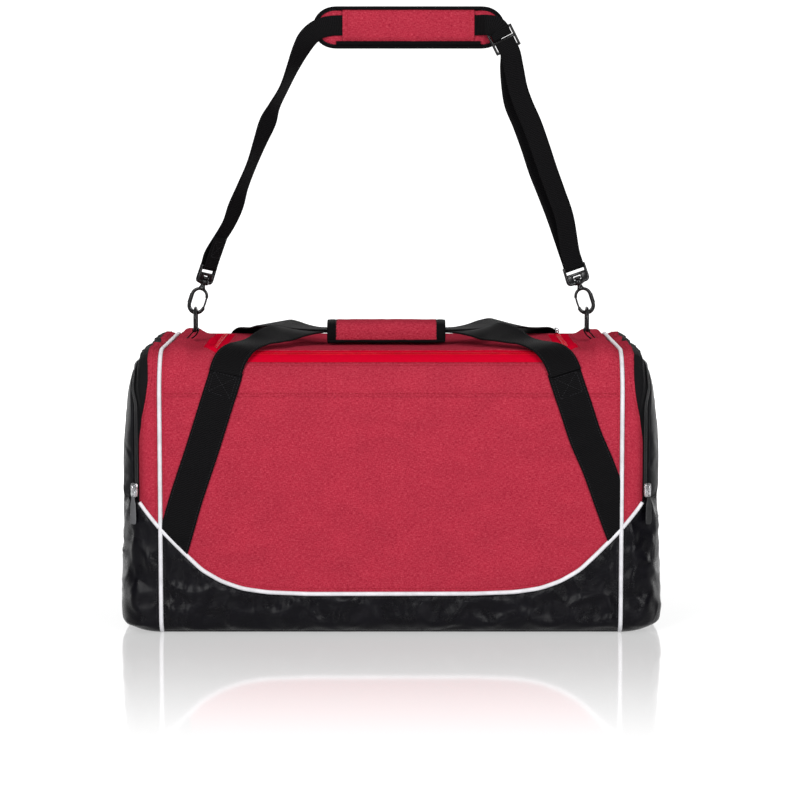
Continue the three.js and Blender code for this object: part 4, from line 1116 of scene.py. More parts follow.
def band(name, line, wall, replaces):
    c = spline(np.array(line, float), 120)[:, :2]
    c = resample(c, 2.6)
    d = unit(np.gradient(c, axis=0))
    across = np.stack([-d[:, 1], d[:, 0]], -1)
    cols = np.concatenate([[-20, -19.2], np.linspace(-17.5, 17.5, 11), [19.2, 20]])
    rows, n, m = [], len(c), len(cols)
    arc = np.concatenate([[0], np.cumsum(np.linalg.norm(np.diff(c, axis=0), axis=1))])
    E, T, UV = [], [], []
    for i in range(n):
        for k in cols:
            x, z = c[i] + across[i] * k
            x = float(np.clip(x, -320, 320))
            E.append(e_at_x(x))
            T.append(tau_at_z(x, max(z, 24)))
            UV.append((k, arc[i]))
    E, T = np.array(E), np.array(T)
    if wall > 0:
        T = 10 - T
    P, N = skin(E, T), skin_normal(E, T)
    D = drape(P, N)
    # the webbing bridges the finest wrinkles of the cloth
    D3 = D.reshape(n, m, 3)
    L = (lift(P, N)).reshape(n, m)
    k_ = np.ones(5) / 5
    Ls = np.apply_along_axis(lambda a: np.convolve(np.pad(a, 2, mode="edge"), k_, "valid"), 0, L)
    Ls = np.maximum(Ls, L)
    D = P + N * Ls.reshape(-1)[:, None]
    edge_drop = np.where(np.abs(np.tile(cols, n)) > 19.5, -0.35, 0.0)
    D = D + N * edge_drop[:, None]
    A = np.hstack([P, D, N, np.array(UV)])
    quads = np.array([(i * m + j, (i + 1) * m + j, (i + 1) * m + j + 1, i * m + j + 1) for i in range(n - 1) for j in range(m - 1)])
    return panel(name, (A, quads, []), [above, lambda x, y, z: 276.2 - np.abs(x)], (WEBBING,), "bag", low=0.15, high=2.2, replaces=replaces)


STITCH = Build()
for side, wall in (("front", -1.0), ("back", 1.0)):
    for lr, line in (("left", LEFT_LINE), ("right", RIGHT_LINE)):
        o = band(f"{side}_{lr}_band", line, wall, f"{side}_{lr}_webbing")
        c = resample(spline(np.array(line, float), 120)[:, :2], 3.0)
        d = unit(np.gradient(c, axis=0))
        across = np.stack([-d[:, 1], d[:, 0]], -1)
        for k in (-17.4, 17.4):
            q = [(float(a[0]), float(a[1])) for a in c + across * k if a[1] > curve_z(a[0]) + 5 and abs(a[0]) < 271 and a[1] < 322]
            p, n = on_wall(q, wall, 2.35)
            stitches(STITCH, p, n, 2.6, 1.2, 0.3)
        # box with a cross where the free handle begins
        zs = (292.0, 316.0)
        ends = []
        for zt in zs:
            i = int(np.argmin(np.abs(c[:, 1] - zt)))
            ends.append((c[i], across[i]))
        (a0, w0), (a1, w1) = ends
        corners = [a0 - w0 * 14, a0 + w0 * 14, a1 + w1 * 14, a1 - w1 * 14]
        for i, j in ((0, 1), (1, 2), (2, 3), (3, 0), (0, 2), (1, 3)):
            q = np.linspace(corners[i], corners[j], 16)
            p, n = on_wall([tuple(v) for v in q], wall, 2.35)
            stitches(STITCH, p, n, 2.4, 1.1, 0.32)
o = STITCH.done("webbing_stitching", THREAD_BLACK)
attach(o, "bag")

# ------------------------------------------------------------- free handles
def edge(x, angle, off, side, tilt=0.0):
    c, d = math.cos(angle * RAD), math.sin(angle * RAD)
    l = math.hypot(c / 40, d / 53)
    n = (0.0, side * c / 40 / l, d / 53 / l)
    return (x, side * (125 + (40 + off) * c), 290 + (53 + off) * d, *n)


def up(x, y, z, tilt=0.0, roll=0.0):
    """A station with its normal tipped towards the front by tilt and along the bag by roll."""
    return (x, y, z, math.sin(roll * RAD), -math.sin(tilt * RAD), math.cos(tilt * RAD))


FRONT = [
    edge(-198.6, 29, 3.4, -1), edge(-196.4, 39.5, 3.4, -1), edge(-193, 51, 3.6, -1), edge(-187.5, 63, 4.4, -1), edge(-179, 77, 6.0, -1),
    up(-163, -111, 351.6, 8), up(-149, -95, 356.4, 27), up(-135, -77, 359.4, 36), up(-121, -59, 359.8, 20), up(-108, -45, 358.6, 5),
    up(-93, -31, 358.3), up(-78, -27.2, 358.2), up(-60, -27, 358.2), up(-6, -27, 358.2), up(48, -27, 358.2), up(66, -27.2, 358.2), up(81, -31, 358.3),
    up(97, -43, 358.8, 5), up(110, -55, 360.4, 20), up(125, -69, 361.0, 38), up(142, -87, 358.4, 30), up(156, -100, 353.6, 12), up(167, -109, 351.2, 4),
    edge(186.5, 77, 6.0, -1), edge(196, 63, 4.4, -1), edge(202.3, 51, 3.6, -1), edge(206.4, 39.5, 3.4, -1), edge(209.6, 29, 3.4, -1),
]
BACK = [
    edge(-198.6, 29, 3.4, 1), edge(-196.4, 39.5, 3.4, 1), edge(-193.4, 51, 3.6, 1), edge(-189, 63, 4.4, 1), edge(-182, 77, 6.0, 1),
    up(-168, 106, 352.4, 4), up(-158, 84, 358, 14), up(-147, 58, 361.5, 22), up(-135, 33, 362.5, 12), up(-122, 10, 361.5, 3), up(-105, -14, 360.5),
    up(-84, -25.5, 360.3), up(-62, -27, 360.3), up(-6, -27, 360.3), up(50, -27, 360.3), up(72, -26, 360.3), up(93, -15, 360.5),
    up(111, 10, 361.5, 3), up(127, 35, 363, 14), up(141, 60, 362, 24), up(156, 84, 357.5, 14), up(170, 106, 352.2, 3),
    edge(188, 77, 6.0, 1), edge(197, 63, 4.4, 1), edge(202.6, 51, 3.6, 1), edge(206.4, 39.5, 3.4, 1), edge(209.6, 29, 3.4, 1),
]
for side, stations, body, s in (("front", FRONT, "front_handle", -1.0), ("back", BACK, "back_handle", 1.0)):
    q = spline(np.array(stations, float), 260)
    p, n = q[:, :3], unit(q[:, 3:])
    k = np.ones(5) / 5
    p = np.stack([np.convolve(np.pad(p[:, i], 2, mode="edge"), k, "valid") for i in range(3)], -1)
    bow = 0.5 + 0.5 * noise3(np.stack([p[:, 0] / 40, p[:, 1] / 40, np.zeros(len(p))], -1), 81)
    prof = np.array([strap_profile(40, 1.9, 13, float(b) * 0.9) for b in bow])
    B = Build()
    v, f, uv = sweep(p, n, prof)
    B.add(v, f, uv)
    t = unit(np.gradient(p, axis=0))
    w = unit(np.cross(t, n))
    for k in (-17.4, 17.4):
        stitches(B, p + w * k, n, 2.6, 1.2, 0.28, 1.05, 1)
    o = B.done(f"{side}_handle_strap", WEBBING, THREAD_BLACK)
    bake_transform(o)
    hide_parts(f"{side}_handle_webbing")


# --------------------------------------------------------------------- grip
def loft_x(sections, xs):
    """Closed sections (y, z) at positions xs joined into one skin."""
    m = len(sections[0])
    v, f, uv = [], [], []
    for x, s in zip(xs, sections):
        run = 0.0
        for k, (y, z) in enumerate(s):
            if k:
                run += math.hypot(y - s[k - 1][0], z - s[k - 1][1])
            v.append((x, y, z))
            uv.append((x, run))
    for i in range(len(xs) - 1):
        for k in range(m):
            l = (k + 1) % m
            f.append((i * m + k, (i + 1) * m + k, (i + 1) * m + l, i * m + l))
    f.append(tuple(range(m)))
    f.append(tuple((len(xs) - 1) * m + k for k in range(m))[::-1])
    return np.array(v, float), f, np.array(uv)


def wrap_section(points, thick_, n=44):
    """A padded strip of given thickness following a line of (y, z) points; thick_ may vary along it."""
    c = spline(np.array([(a, b, 0) for a, b in points], float), n)[:, :2]
    t = unit(np.gradient(c, axis=0))
    nn = np.stack([t[:, 1], -t[:, 0]], -1)
    s = np.linspace(0, 1, len(c))
    h = np.array([thick_(a) for a in s])[:, None] / 2
    ends = np.minimum(1.0, np.sqrt(np.clip(np.minimum(s, 1 - s) / 0.045, 0, 1)))[:, None]
    return np.vstack([c + nn * h * ends, (c - nn * h * ends)[::-1]])


GX0, GX1 = -80.0, 68.0


def grip_piece(name, line, body, thick_, replaces):
    xs = np.concatenate([[GX0 + 0.6], np.linspace(GX0 + 2, GX1 - 2, 75), [GX1 - 0.6]])
    secs = []
    for x in xs:
        u = (x - GX0) / (GX1 - GX0)
        end_ = min(1.0, math.sqrt(max(0.0, min(u, 1 - u)) / 0.03))
        seam = 1 - 0.30 * math.exp(-((x - GX0 - 11.5) / 1.6) ** 2) - 0.30 * math.exp(-((x - GX1 + 11.5) / 1.6) ** 2)
        puff = 0.86 + 0.14 * math.sin(math.pi * u) + 0.05 * float(noise3(np.array([[x / 21, 3.3, 0.7]]), 91)[0])
        secs.append(wrap_section(line, lambda s: thick_(s) * puff * seam * (0.55 + 0.45 * end_)))
    v, f, uv = loft_x(secs, xs)
    v[:, 1:] += 0.35 * np.stack([noise3(v / 17, 93), noise3(v / 17, 95)], -1)
    mats = []
    for face in f:
        x = float(np.mean(v[list(face), 0]))
        mats.append(1 if x < GX0 + 11.5 or x > GX1 - 11.5 else 0)
    o = make_object(name, v, f, uv, (RED, BINDING), mats)
    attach(o, body)
    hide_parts(replaces)
    return o


grip_piece("grip_pad_lower", [(-4.5, 355.0), (-6.5, 349.6), (-15, 347.6), (-27, 347.0), (-39, 347.5), (-47.4, 349.6), (-49.2, 355.4)], "front_handle",
           lambda s: 3.6 + 1.0 * math.sin(math.pi * s), "grip_lower")
grip_piece("grip_pad_wrap", [(-2.9, 362.6), (-5.5, 367.6), (-15, 370.0), (-27, 370.6), (-39, 369.8), (-48.6, 367.0), (-51.9, 361.0), (-52.4, 354.0), (-51.8, 348.2)], "grip_top",
           lambda s: 3.4 + 1.2 * math.sin(math.pi * s), "grip_flap")
B = Build()
for x in (GX0 + 12.2, GX1 - 12.2):
    for line in ([(-4.9, 364.5), (-7.5, 369.4), (-15, 372.0), (-27, 372.7), (-39, 371.9), (-49.6, 368.9), (-53.7, 361.5), (-54.2, 354.0), (-53.6, 349.6)],):
        c = spline(np.array([(a, b, 0) for a, b in line], float), 60)[:, :2]
        p = np.stack([np.full(len(c), x), c[:, 0], c[:, 1]], -1)
        t = unit(np.gradient(p, axis=0))
        n = unit(np.cross(t, np.array([1.0, 0, 0])))
        n = n * np.sign(np.sum(n * (p - np.array([x, -27, 350])), -1, keepdims=True))
        stitches(B, p, n, 2.5, 1.2, 0.3, -0.2)
o = B.done("grip_stitching", THREAD_BLACK)
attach(o, "grip_top")
# bound edge of the wrap: a rolled black tape along its lower front lip and its back fold
B = Build()
for y, z, r in ((-51.8, 347.6, 2.1), (-3.2, 362.0, 1.6)):
    xs = np.linspace(GX0 + 1.2, GX1 - 1.2, 80)
    p = np.stack([xs, np.full_like(xs, y), np.full_like(xs, z) + 0.25 * np.sin(xs / 9)], -1)
    v, f, uv = sweep(p, np.tile([0, -1.0, 0], (len(xs), 1)), circle(r, 10))
    B.add(v, f, uv)
o = B.done("grip_binding", BINDING)
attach(o, "grip_top")

# --------------------------------------------------------- D rings and tabs
D_X, BAR_Z, ARC_Z, D_R = 246.0, 357.0, 371.0, 14.0
for side, s in (("left", -1.0), ("right", 1.0)):
    X = s * D_X
    loop = [(X, D_R * math.cos(a * RAD), ARC_Z + D_R * math.sin(a * RAD)) for a in range(0, 181, 8)]
    loop += [(X, -D_R, BAR_Z + 9), (X, -D_R, BAR_Z + 4), (X, -D_R + 0.5, BAR_Z + 1.8), (X, -D_R + 1.9, BAR_Z + 0.4), (X, -D_R + 4, BAR_Z), (X, -6, BAR_Z), (X, 0, BAR_Z), (X, 6, BAR_Z),
             (X, D_R - 4, BAR_Z), (X, D_R - 1.9, BAR_Z + 0.4), (X, D_R - 0.5, BAR_Z + 1.8), (X, D_R, BAR_Z + 4), (X, D_R, BAR_Z + 9)]
    p = resample(np.array(loop), 1.1, closed=True)
    v, f, uv = sweep(p, np.tile([1.0, 0, 0], (len(p), 1)), circle(2.0, 12), closed=True)
    B = Build()
    B.add(v, f, uv)
    # the moulding's parting line
    v, f, uv = sweep(p, np.tile([1.0, 0, 0], (len(p), 1)), [(2.0, -0.22), (2.18, -0.1), (2.18, 0.1), (2.0, 0.22), (1.8, 0)], closed=True)
    B.add(v, f, uv)
    o = B.done(f"{side}_ring", PLASTIC)
    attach(o, f"{side}_ring")
    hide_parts(f"{side}_d_ring")
    # folded webbing tab round the bar, sewn down to the top
    R = 2.0 + 0.35 + 0.85
    path = []
    path += [(27.5, 344.45), (20, 344.6), (12.5, 346.0), (8.2, 349.6), (5.2, 353.2)]
    for a in np.linspace(-30, 205, 12):
        path.append((R * math.cos(a * RAD), BAR_Z + R * math.sin(a * RAD)))
    path += [(-0.6, 351.6), (3.4, 348.0), (9.5, 344.5), (14, 343.1), (24.0, 343.0)]
    c = spline(np.array([(a, b, 0) for a, b in path], float), 150)[:, :2]
    p = np.stack([X + s * c[:, 0], np.zeros(len(c)), c[:, 1]], -1)
    t = unit(np.gradient(p, axis=0))
    n = unit(np.cross(t, np.array([0, 1.0, 0])))
    v, f, uv = sweep(p, n, strap_profile(17, 1.5, 7))
    B = Build()
    B.add(v, f, uv)
    top_p = np.array([(X + s * a, b, 345.55) for a, b in ((14, -6.4), (26, -6.4), (26, 6.4), (14, 6.4), (14, -6.4), (26, 6.4))])
    for i in range(5):
        q = np.linspace(top_p[i], top_p[i + 1], 8)
        stitches(B, q, np.tile([0, 0, 1.0], (8, 1)), 2.0, 0.9, 0.3, 0.0, 1)
    q = np.linspace((X + s * 26, -6.4, 345.55), (X + s * 14, 6.4, 345.55), 8)
    stitches(B, q, np.tile([0, 0, 1.0], (8, 1)), 2.0, 0.9, 0.3, 0.0, 1)
    o = B.done(f"{side}_ring_tab", WEBBING, THREAD_BLACK)
    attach(o, "bag")
    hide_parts(f"{side}_d_ring_tab")

# ------------------------------------------------------------- snap hooks
LEAN = 18.0
OUTER, INNER, LOW, EYE, TOP, EYE_TOP = 11.5, 7.0, -7.8, -3.3, 27.5, 21.5
FRAMES = {}
for side, s in (("left", -1.0), ("right", 1.0)):
    lean = -s * LEAN * RAD
    turn = (55.0 if s < 0 else 18.0) * RAD
    Ry = np.array([[math.cos(lean), 0, math.sin(lean)], [0, 1, 0], [-math.sin(lean), 0, math.cos(lean)]])
    Rz = np.array([[math.cos(turn), -math.sin(turn), 0], [math.sin(turn), math.cos(turn), 0], [0, 0, 1]])
    at = np.array([s * D_X, 0, ARC_Z + D_R])
    put = (lambda Ry, at: (lambda v: v @ Ry.T + at))(Ry, at)
    put_turned = (lambda R, at: (lambda v: v @ R.T + at))(Ry @ Rz, at)
    FRAMES[side] = (at, Ry @ Rz @ np.array([0, 0, 1.0]), Ry @ Rz @ np.array([1.0, 0, 0]), Ry @ Rz @ np.array([0, 1.0, 0]))
    g = -s
    # body: one moulded bar bent round the eye, thick at the back, slim at the nose
    mid = (OUTER + INNER) / 2
    cl, ch = LOW + OUTER, TOP - OUTER
    pts = [(g * mid, 1.1)]
    if cl > 1.1:
        pts.append((g * mid, cl))
    for a in np.linspace(0, -180, 22):
        pts.append((g * mid * math.cos(a * RAD), cl + mid * math.sin(a * RAD)))
    pts += [(-g * mid, z) for z in np.linspace(cl + 1, ch, 8)]
    for a in np.linspace(180, 0, 22)[1:]:
        pts.append((g * mid * math.cos(a * RAD), ch + mid * math.sin(a * RAD)))
    pts.append((g * mid, 19.9))
    c = resample(np.array(pts), 0.9)
    m = len(c)
    s01 = np.linspace(0, 1, m)
    nose = np.clip(s01 / 0.06, 0, 1) ** 0.5 * (1 - 0) * np.clip((1 - s01) / 0.03, 0, 1) ** 0.4
    wide_ = 2.25 * (0.55 + 0.45 * nose) * (0.94 + 0.06 * np.sin(math.pi * s01)) * (1 + 0.2 * np.exp(-((s01 - 0.24) / 0.13) ** 2) - 0.14 * smooth(0.6, 0.75, s01))
    p = np.stack([c[:, 0], np.zeros(m), c[:, 1]], -1)
    prof = []
    for k in range(m):
        a, b = 2.5 * (0.62 + 0.38 * nose[k]), wide_[k]
        ring = []
        for q in range(16):
            th = 2 * math.pi * (q + 0.5) / 16
            cx, cy = math.cos(th), math.sin(th)
            ring.append((b * math.copysign(abs(cx) ** 0.62, cx), a * math.copysign(abs(cy) ** 0.62, cy)))
        prof.append(ring)
    v, f, uv = sweep(p, np.tile([0, 1.0, 0], (m, 1)), np.array(prof))
    B = Build()
    B.add(v, f, uv)
    # shank, collar and the rivet head that holds the swivel
    v, f = lathe([(0.05, 24.2), (4.3, 24.4), (4.6, 26.2), (3.5, 28.6), (3.0, 30.0), (3.0, 38.1), (4.3, 38.4), (4.6, 39.2), (4.5, 40.6), (3.6, 41.5), (0.05, 41.7)], 24)
    B.add(v, f)
    # stiffening rib on the spine
    v, f = rbox(min(-g * 12.2, -g * 10.2), max(-g * 12.2, -g * 10.2), -1.1, 1.1, 3.5, 16.5, 0.7)
    B.add(v, f)
    B.place(put)
    o = B.done(f"{side}_hook_body", PLASTIC)
    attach(o, f"{side}_snap_hook")
    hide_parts(f"{side}_hook")
    # gate: a slim sprung bar with a thumb lug
    gx = g * mid
    zs = np.linspace(2.0, 19.0, 22)
    p = np.stack([gx + g * 0.25 * np.sin(np.pi * (zs - 2) / 17), np.zeros_like(zs), zs], -1)
    taper = np.sqrt(np.clip(np.minimum(zs - 1.9, 19.1 - zs) / 1.6, 0.05, 1))
    prof = np.array([[(1.2 * k * math.copysign(abs(math.cos(a)) ** 0.7, math.cos(a)), 1.45 * k * math.copysign(abs(math.sin(a)) ** 0.7, math.sin(a)))
                      for a in np.arange(12) * 2 * math.pi / 12 + 0.26] for k in taper])
    v, f, uv = sweep(p, np.tile([0, 1.0, 0], (len(zs), 1)), prof)
    B = Build()
    B.add(v, f, uv)
    for z in (8.6, 10.4, 12.2):
        v, f = rbox(min(gx + g * 0.7, gx + g * 1.7), max(gx + g * 0.7, gx + g * 1.7), -1.3, 1.3, z - 0.5, z + 0.5, 0.35, 1)
        B.add(v, f)
    B.place(put)
    o = B.done(f"{side}_gate_bar", PLASTIC)
    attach(o, f"{side}_gate")
    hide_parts(f"{side}_hook_gate")
    # swivel loop
    half = 14.0
    B = Build()
    v, f = lathe([(3.35, 31.4), (5.4, 31.3), (6.0, 32.0), (6.0, 36.6), (5.4, 37.5), (3.35, 37.6)], 24)
    f = [q for q in f if len(q) == 4] + [(i * 6 + 5, ((i + 1) % 24) * 6 + 5, ((i + 1) % 24) * 6, i * 6) for i in range(24)]
    B.add(v, f)
    for k in (-1, 1):
        arm = [(k * 4.6, 34.4), (k * 8.5, 34.3), (k * 11.4, 34.6), (k * 13.4, 36.3), (k * 14.0, 39.6), (k * 14.0, 46), (k * 14.0, 52.5), (k * 14.0, 54.0)]
        c = spline(np.array([(a, b, 0) for a, b in arm], float), 42)[:, :2]
        p = np.stack([c[:, 0], np.zeros(len(c)), c[:, 1]], -1)
        w = np.linspace(0, 1, len(c))
        prof = np.array([[((2.3 - 1.1 * u) * math.copysign(abs(math.cos(a)) ** 0.65, math.cos(a)), (2.9 - 0.7 * u) * math.copysign(abs(math.sin(a)) ** 0.65, math.sin(a)))
                          for a in np.arange(14) * 2 * math.pi / 14 + 0.22] for u in w])
        v, f, uv = sweep(p, np.tile([0, 1.0, 0], (len(c), 1)), prof)
        B.add(v, f, uv)
        v, f = lathe([(0.05, -1.2), (1.9, -1.1), (2.4, -0.7), (2.4, 0.7), (1.9, 1.1), (0.05, 1.2)], 16)
        v = np.stack([k * 14.1 + v[:, 2], v[:, 0], v[:, 1] + 54.0], -1)
        B.add(v, f)
        v, f = rbox(min(k * 5.3, k * 13.2), max(k * 5.3, k * 13.2), -2.1, 2.1, 35.2, 46.4, 0.9)
        B.add(v, f)
    v, f = rbox(-12.9, 12.9, -2.1, 2.1, 42.8, 46.6, 0.9)
    B.add(v, f)
    xs = np.linspace(-14.0, 14.0, 12)
    v, f, uv = sweep(np.stack([xs, 0 * xs, 54 + 0 * xs], -1), np.tile([0, 1.0, 0], (12, 1)), circle(2.0, 14))
    B.add(v, f, uv)
    B.place(put_turned)
    o = B.done(f"{side}_swivel", PLASTIC)
    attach(o, "shoulder_strap")
    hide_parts(f"{side}_swivel_loop")


# ---------------------------------------------------------- shoulder strap
BAR, STRAP_T = 54.0, 1.6
WRAP = 2.0 + 0.5 + STRAP_T / 2
A0, AD, AW = np.array([140, -4.6, 719.5]), np.array([0.45, 0, -0.893]), np.array([0.893, 0, 0.45])


def local(side, u, n):
    o_, uu, ww, nn = FRAMES[side]
    return o_ + uu * u + nn * n


def adj(u, n):
    p = A0 + AD * u
    return (p[0], p[1] + n, p[2])


def around_bar(side, start):
    out = []
    for a in np.linspace(0, 180, 13):
        out.append((*local(side, BAR - WRAP * math.sin(a * RAD), start * WRAP * math.cos(a * RAD)), *FRAMES[side][2]))
    return out


def leg(rows, n, sgn=1.0, flip=False):
    q = spline(np.array(rows, float), n)
    t = unit(np.gradient(q[:, :3], axis=0))
    out = []
    for p, d in zip(q, t):
        e_ = np.array([-d[2], 0, d[0]])
        e_ = e_ / max(1e-9, np.linalg.norm(e_))
        w = e_ * math.cos(p[3] * RAD) + np.array([0, sgn * math.sin(p[3] * RAD), 0])
        out.append((*p[:3], *(w * (-1 if flip else 1))))
    return out


def strap(name, rows, replaces, width=25.0):
    q = np.array(rows, float)
    q = resample(q, 2.2)
    p, w = q[:, :3], unit(q[:, 3:])
    t = unit(np.gradient(p, axis=0))
    w = unit(w - np.sum(w * t, -1, keepdims=True) * t)
    n = unit(np.cross(w, t))
    v, f, uv = sweep(p, n, strap_profile(width, STRAP_T, 9, 0.0, 0.6))
    B = Build()
    B.add(v, f, uv)
    return B, p, n, w


wrap_l = around_bar("left", 1.0)
top = local("left", BAR + 16, WRAP + 0.3)
main = leg([
    (*adj(-2.5, -3.6), 0), (*adj(-8, -3.8), 0), (*adj(-15, -4.2), 0), (127.5, -8.9, 736.2, 0), (118.5, -8.6, 737.6, 0), (111, -3.8, 737.6, 0), (104.5, -0.1, 737.3, 0),
    (98, 0, 737.3, 0), (20, 0, 737.3, 0), (-60, 0, 737.3, 0), (-78, -0.4, 736.2, 0), (-92, -1.6, 731.5, 0), (-103.5, -4.2, 721.5, 12), (-112.5, -5, 706.5, 34),
    (-122, -3.5, 686, 54), (-133.5, -1.0, 660, 66), (-146, 1.0, 637, 58), (-154, 1.0, 618, 36), (-163.5, 0.5, 594, 50), (-174, -0.5, 566, 62), (-186, -0.5, 537, 58),
    (-195, 0, 512, 44), (-203.5, 0, 491, 52), (*top, 55), (*local("left", BAR + 6, WRAP), 55),
], 230)
tail = [(*local("left", BAR + 5, -WRAP), *FRAMES["left"][2]), (*local("left", BAR + 14, -WRAP - 0.1), *FRAMES["left"][2]), (*local("left", BAR + 40, -WRAP - 1.1), *FRAMES["left"][2])]
B, p, n, w = strap("strap_band", main + wrap_l + tail, "strap_webbing")
# box stitch that closes the loop
for a0, b0, a1, b1 in ((14, -9, 34, -9), (34, -9, 34, 9), (34, 9, 14, 9), (14, 9, 14, -9), (14, -9, 34, 9), (14, 9, 34, -9)):
    q = np.array([local("left", BAR + a0 + (a1 - a0) * k, -WRAP - 1.1 - 0.75) + FRAMES["left"][2] * (b0 + (b1 - b0) * k) for k in np.linspace(0, 1, 10)])
    stitches(B, q, np.tile(-FRAMES["left"][3], (10, 1)), 2.2, 1.0, 0.3, 0.1, 1)
o = B.done("strap_band", WEBBING, THREAD_BLACK)
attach(o, "shoulder_strap")
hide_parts("strap_webbing")

outer_leg = leg([
    (*adj(1.2, -3.6), 0), (*adj(9, -3.6), 0), (*adj(18, -3.4), 2), (152.6, -5.5, 684, 8), (158, -4.8, 659, 14), (164.5, -5.6, 640, 11),
    (175.5, -6.0, 615, 8), (186, -5.8, 586, 10), (196, -5, 557, 14), (206, -4, 530, 17), (216.5, -4, 500, 18),
    (*local("right", BAR + 18, -WRAP - 0.4), 18), (*local("right", BAR + 6, -WRAP), 18)], 150)
inner_leg = leg([
    (*local("right", BAR + 6, WRAP), 18), (*local("right", BAR + 18, WRAP + 0.6), 18), (206, 6.2, 501, 18), (194.6, 8.8, 530, 20), (184, 9.5, 557, 17), (174.6, 9.2, 586, 13),
    (164.0, 8.8, 615, 10), (153.5, 7.2, 640, 11), (150.0, 3.6, 659, 10), (148, -0.2, 684, 4), (*adj(18, 3.4), 2), (*adj(9, 3.6), 0), (*adj(1.2, 3.6), 0)], 150, -1.0, True)
B, p, n, w = strap("strap_loop", outer_leg + around_bar("right", -1.0) + inner_leg, "strap_loop_webbing")
o = B.done("strap_loop", WEBBING)
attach(o, "shoulder_strap")
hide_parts("strap_loop_webbing")

# adjuster: a moulded frame with a ribbed centre bar
B = Build()
hw = 16.7
for k in (-1, 1):
    v, f = rbox(k * 15.1 - 1.6, k * 15.1 + 1.6, -2.0, 2.0, -14.4, 14.4, 1.2, 3)
    B.add(v, f)
for z0, z1, y in ((-14.5, -11.0, 1.9), (11.0, 14.5, 1.9), (-2.0, 2.0, 1.9)):
    v, f = rbox(-14.4, 14.4, -y, y, z0, z1, 1.1, 3)
    B.add(v, f)
for z in (-0.9, 0.9):
    xs = np.linspace(-12.6, 12.6, 8)
    v, f, uv = sweep(np.stack([xs, 0 * xs - 1.9, 0 * xs + z], -1), np.tile([0, -1.0, 0], (8, 1)), circle(0.35, 6))
    B.add(v, f, uv)
ang = math.atan2(0.45, 0.893)
Ra = np.array([[math.cos(-ang), 0, math.sin(-ang)], [0, 1, 0], [-math.sin(-ang), 0, math.cos(-ang)]])
B.place(lambda v: v @ Ra.T + A0)
o = B.done("adjuster_frame", PLASTIC)
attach(o, "adjuster")
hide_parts("strap_adjuster")


# ------------------------------------------------------------- shoulder pad
PX0, PX1, PZ0, PZ1 = -97.0, 141.0, 709.5, 760.0
PCZ = (PZ0 + PZ1) / 2


def pad_outline(inset=0.0, n=26):
    h, r = (PZ1 - PZ0) / 2 - inset, 27.0 - inset
    pts = []
    for a in np.linspace(-90, 90, n):
        pts.append((PX1 - 27 + r * math.cos(a * RAD), PCZ + h * math.sin(a * RAD)))
    for x in np.linspace(PX1 - 27, PX0 + 27, 50)[1:-1]:
        pts.append((x, PCZ + h))
    for a in np.linspace(90, 270, n):
        pts.append((PX0 + 27 + r * math.cos(a * RAD), PCZ + h * math.sin(a * RAD)))
    for x in np.linspace(PX0 + 27, PX1 - 27, 50)[1:-1]:
        pts.append((x, PCZ - h))
    return pts


def apply_modifiers(obj):
    """Leaves the mesh as the modifiers show it now, with none left."""
    dg = bpy.context.evaluated_depsgraph_get()
    me = bpy.data.meshes.new_from_object(obj.evaluated_get(dg))
    old = obj.data
    obj.modifiers.clear()
    obj.data = me
    bpy.data.meshes.remove(old)


def inflate(obj, voxel, pressure, cap, frames=20, pin=None):
    """Cloth under pressure: the padded form swells between its seams. cap(rest, moved) limits each point."""
    m = obj.modifiers.new("remesh", "REMESH")
    m.mode = "VOXEL"
    m.voxel_size = voxel
    m.adaptivity = 0.0
    apply_modifiers(obj)
    rest = np.array([v.co for v in obj.data.vertices])
    if pin is not None:
        g = obj.vertex_groups.new(name="pin")
        wts = pin(rest)
        for i, a in enumerate(wts):
            if a > 0:
                g.add([i], float(a), "REPLACE")
    c = obj.modifiers.new("cloth", "CLOTH")
    c.settings.use_pressure = True
    c.settings.uniform_pressure_force = pressure
    c.settings.effector_weights.gravity = 0.0
    c.settings.quality = 6
    c.settings.mass = 0.25
    c.settings.tension_stiffness = 40
    c.settings.compression_stiffness = 30
    c.settings.shear_stiffness = 20
    c.settings.bending_stiffness = 0.4
    c.collision_settings.use_collision = False
    c.collision_settings.use_self_collision = False
    if pin is not None:
        c.settings.vertex_group_mass = "pin"
    c.point_cache.frame_start, c.point_cache.frame_end = 1, frames
    for fr in range(1, frames + 1):
        bpy.context.scene.frame_set(fr)
        bpy.context.view_layer.update()
    apply_modifiers(obj)
    moved = np.array([v.co for v in obj.data.vertices])
    if len(moved) == len(rest) and np.all(np.isfinite(moved)):
        moved = cap(rest, moved)
        obj.data.vertices.foreach_set("co", moved.astype(np.float32).ravel())
        obj.data.update()
    bpy.context.scene.frame_set(1)
    s = obj.modifiers.new("sub", "SUBSURF")
    s.levels = s.render_levels = 1
    apply_modifiers(obj)
    obj.data.polygons.foreach_set("use_smooth", [True] * len(obj.data.polygons))


def flat_uv(obj, ax=(0, 2)):
    me = obj.data
    layer = me.uv_layers.get("cloth") or me.uv_layers.new(name="cloth")
    co = np.array([v.co for v in me.vertices])
    idx = np.empty(len(me.loops), dtype=np.int64)
    me.loops.foreach_get("vertex_index", idx)
    uv = co[:, list(ax)][idx] * 10
    layer.data.foreach_set("uv", uv.astype(np.float32).ravel())


v, f = prism(pad_outline(1.2), 0.0, 5.4, 1.6)
v = np.stack([v[:, 0], 8.4 - v[:, 2], v[:, 1]], -1)
pad = make_object("pad_body", v, [tuple(reversed(q)) for q in f], None, (FOAM,))


def pad_cap(rest, moved):
    d = moved - rest
    length = np.linalg.norm(d, axis=1, keepdims=True)
    d = d * np.minimum(1.0, 0.0042 / np.maximum(length, 1e-9))
    out = rest + d
    out[:, 1] = np.maximum(out[:, 1], 0.0013)
    return out


inflate(pad, 0.004, 4.0, pad_cap)
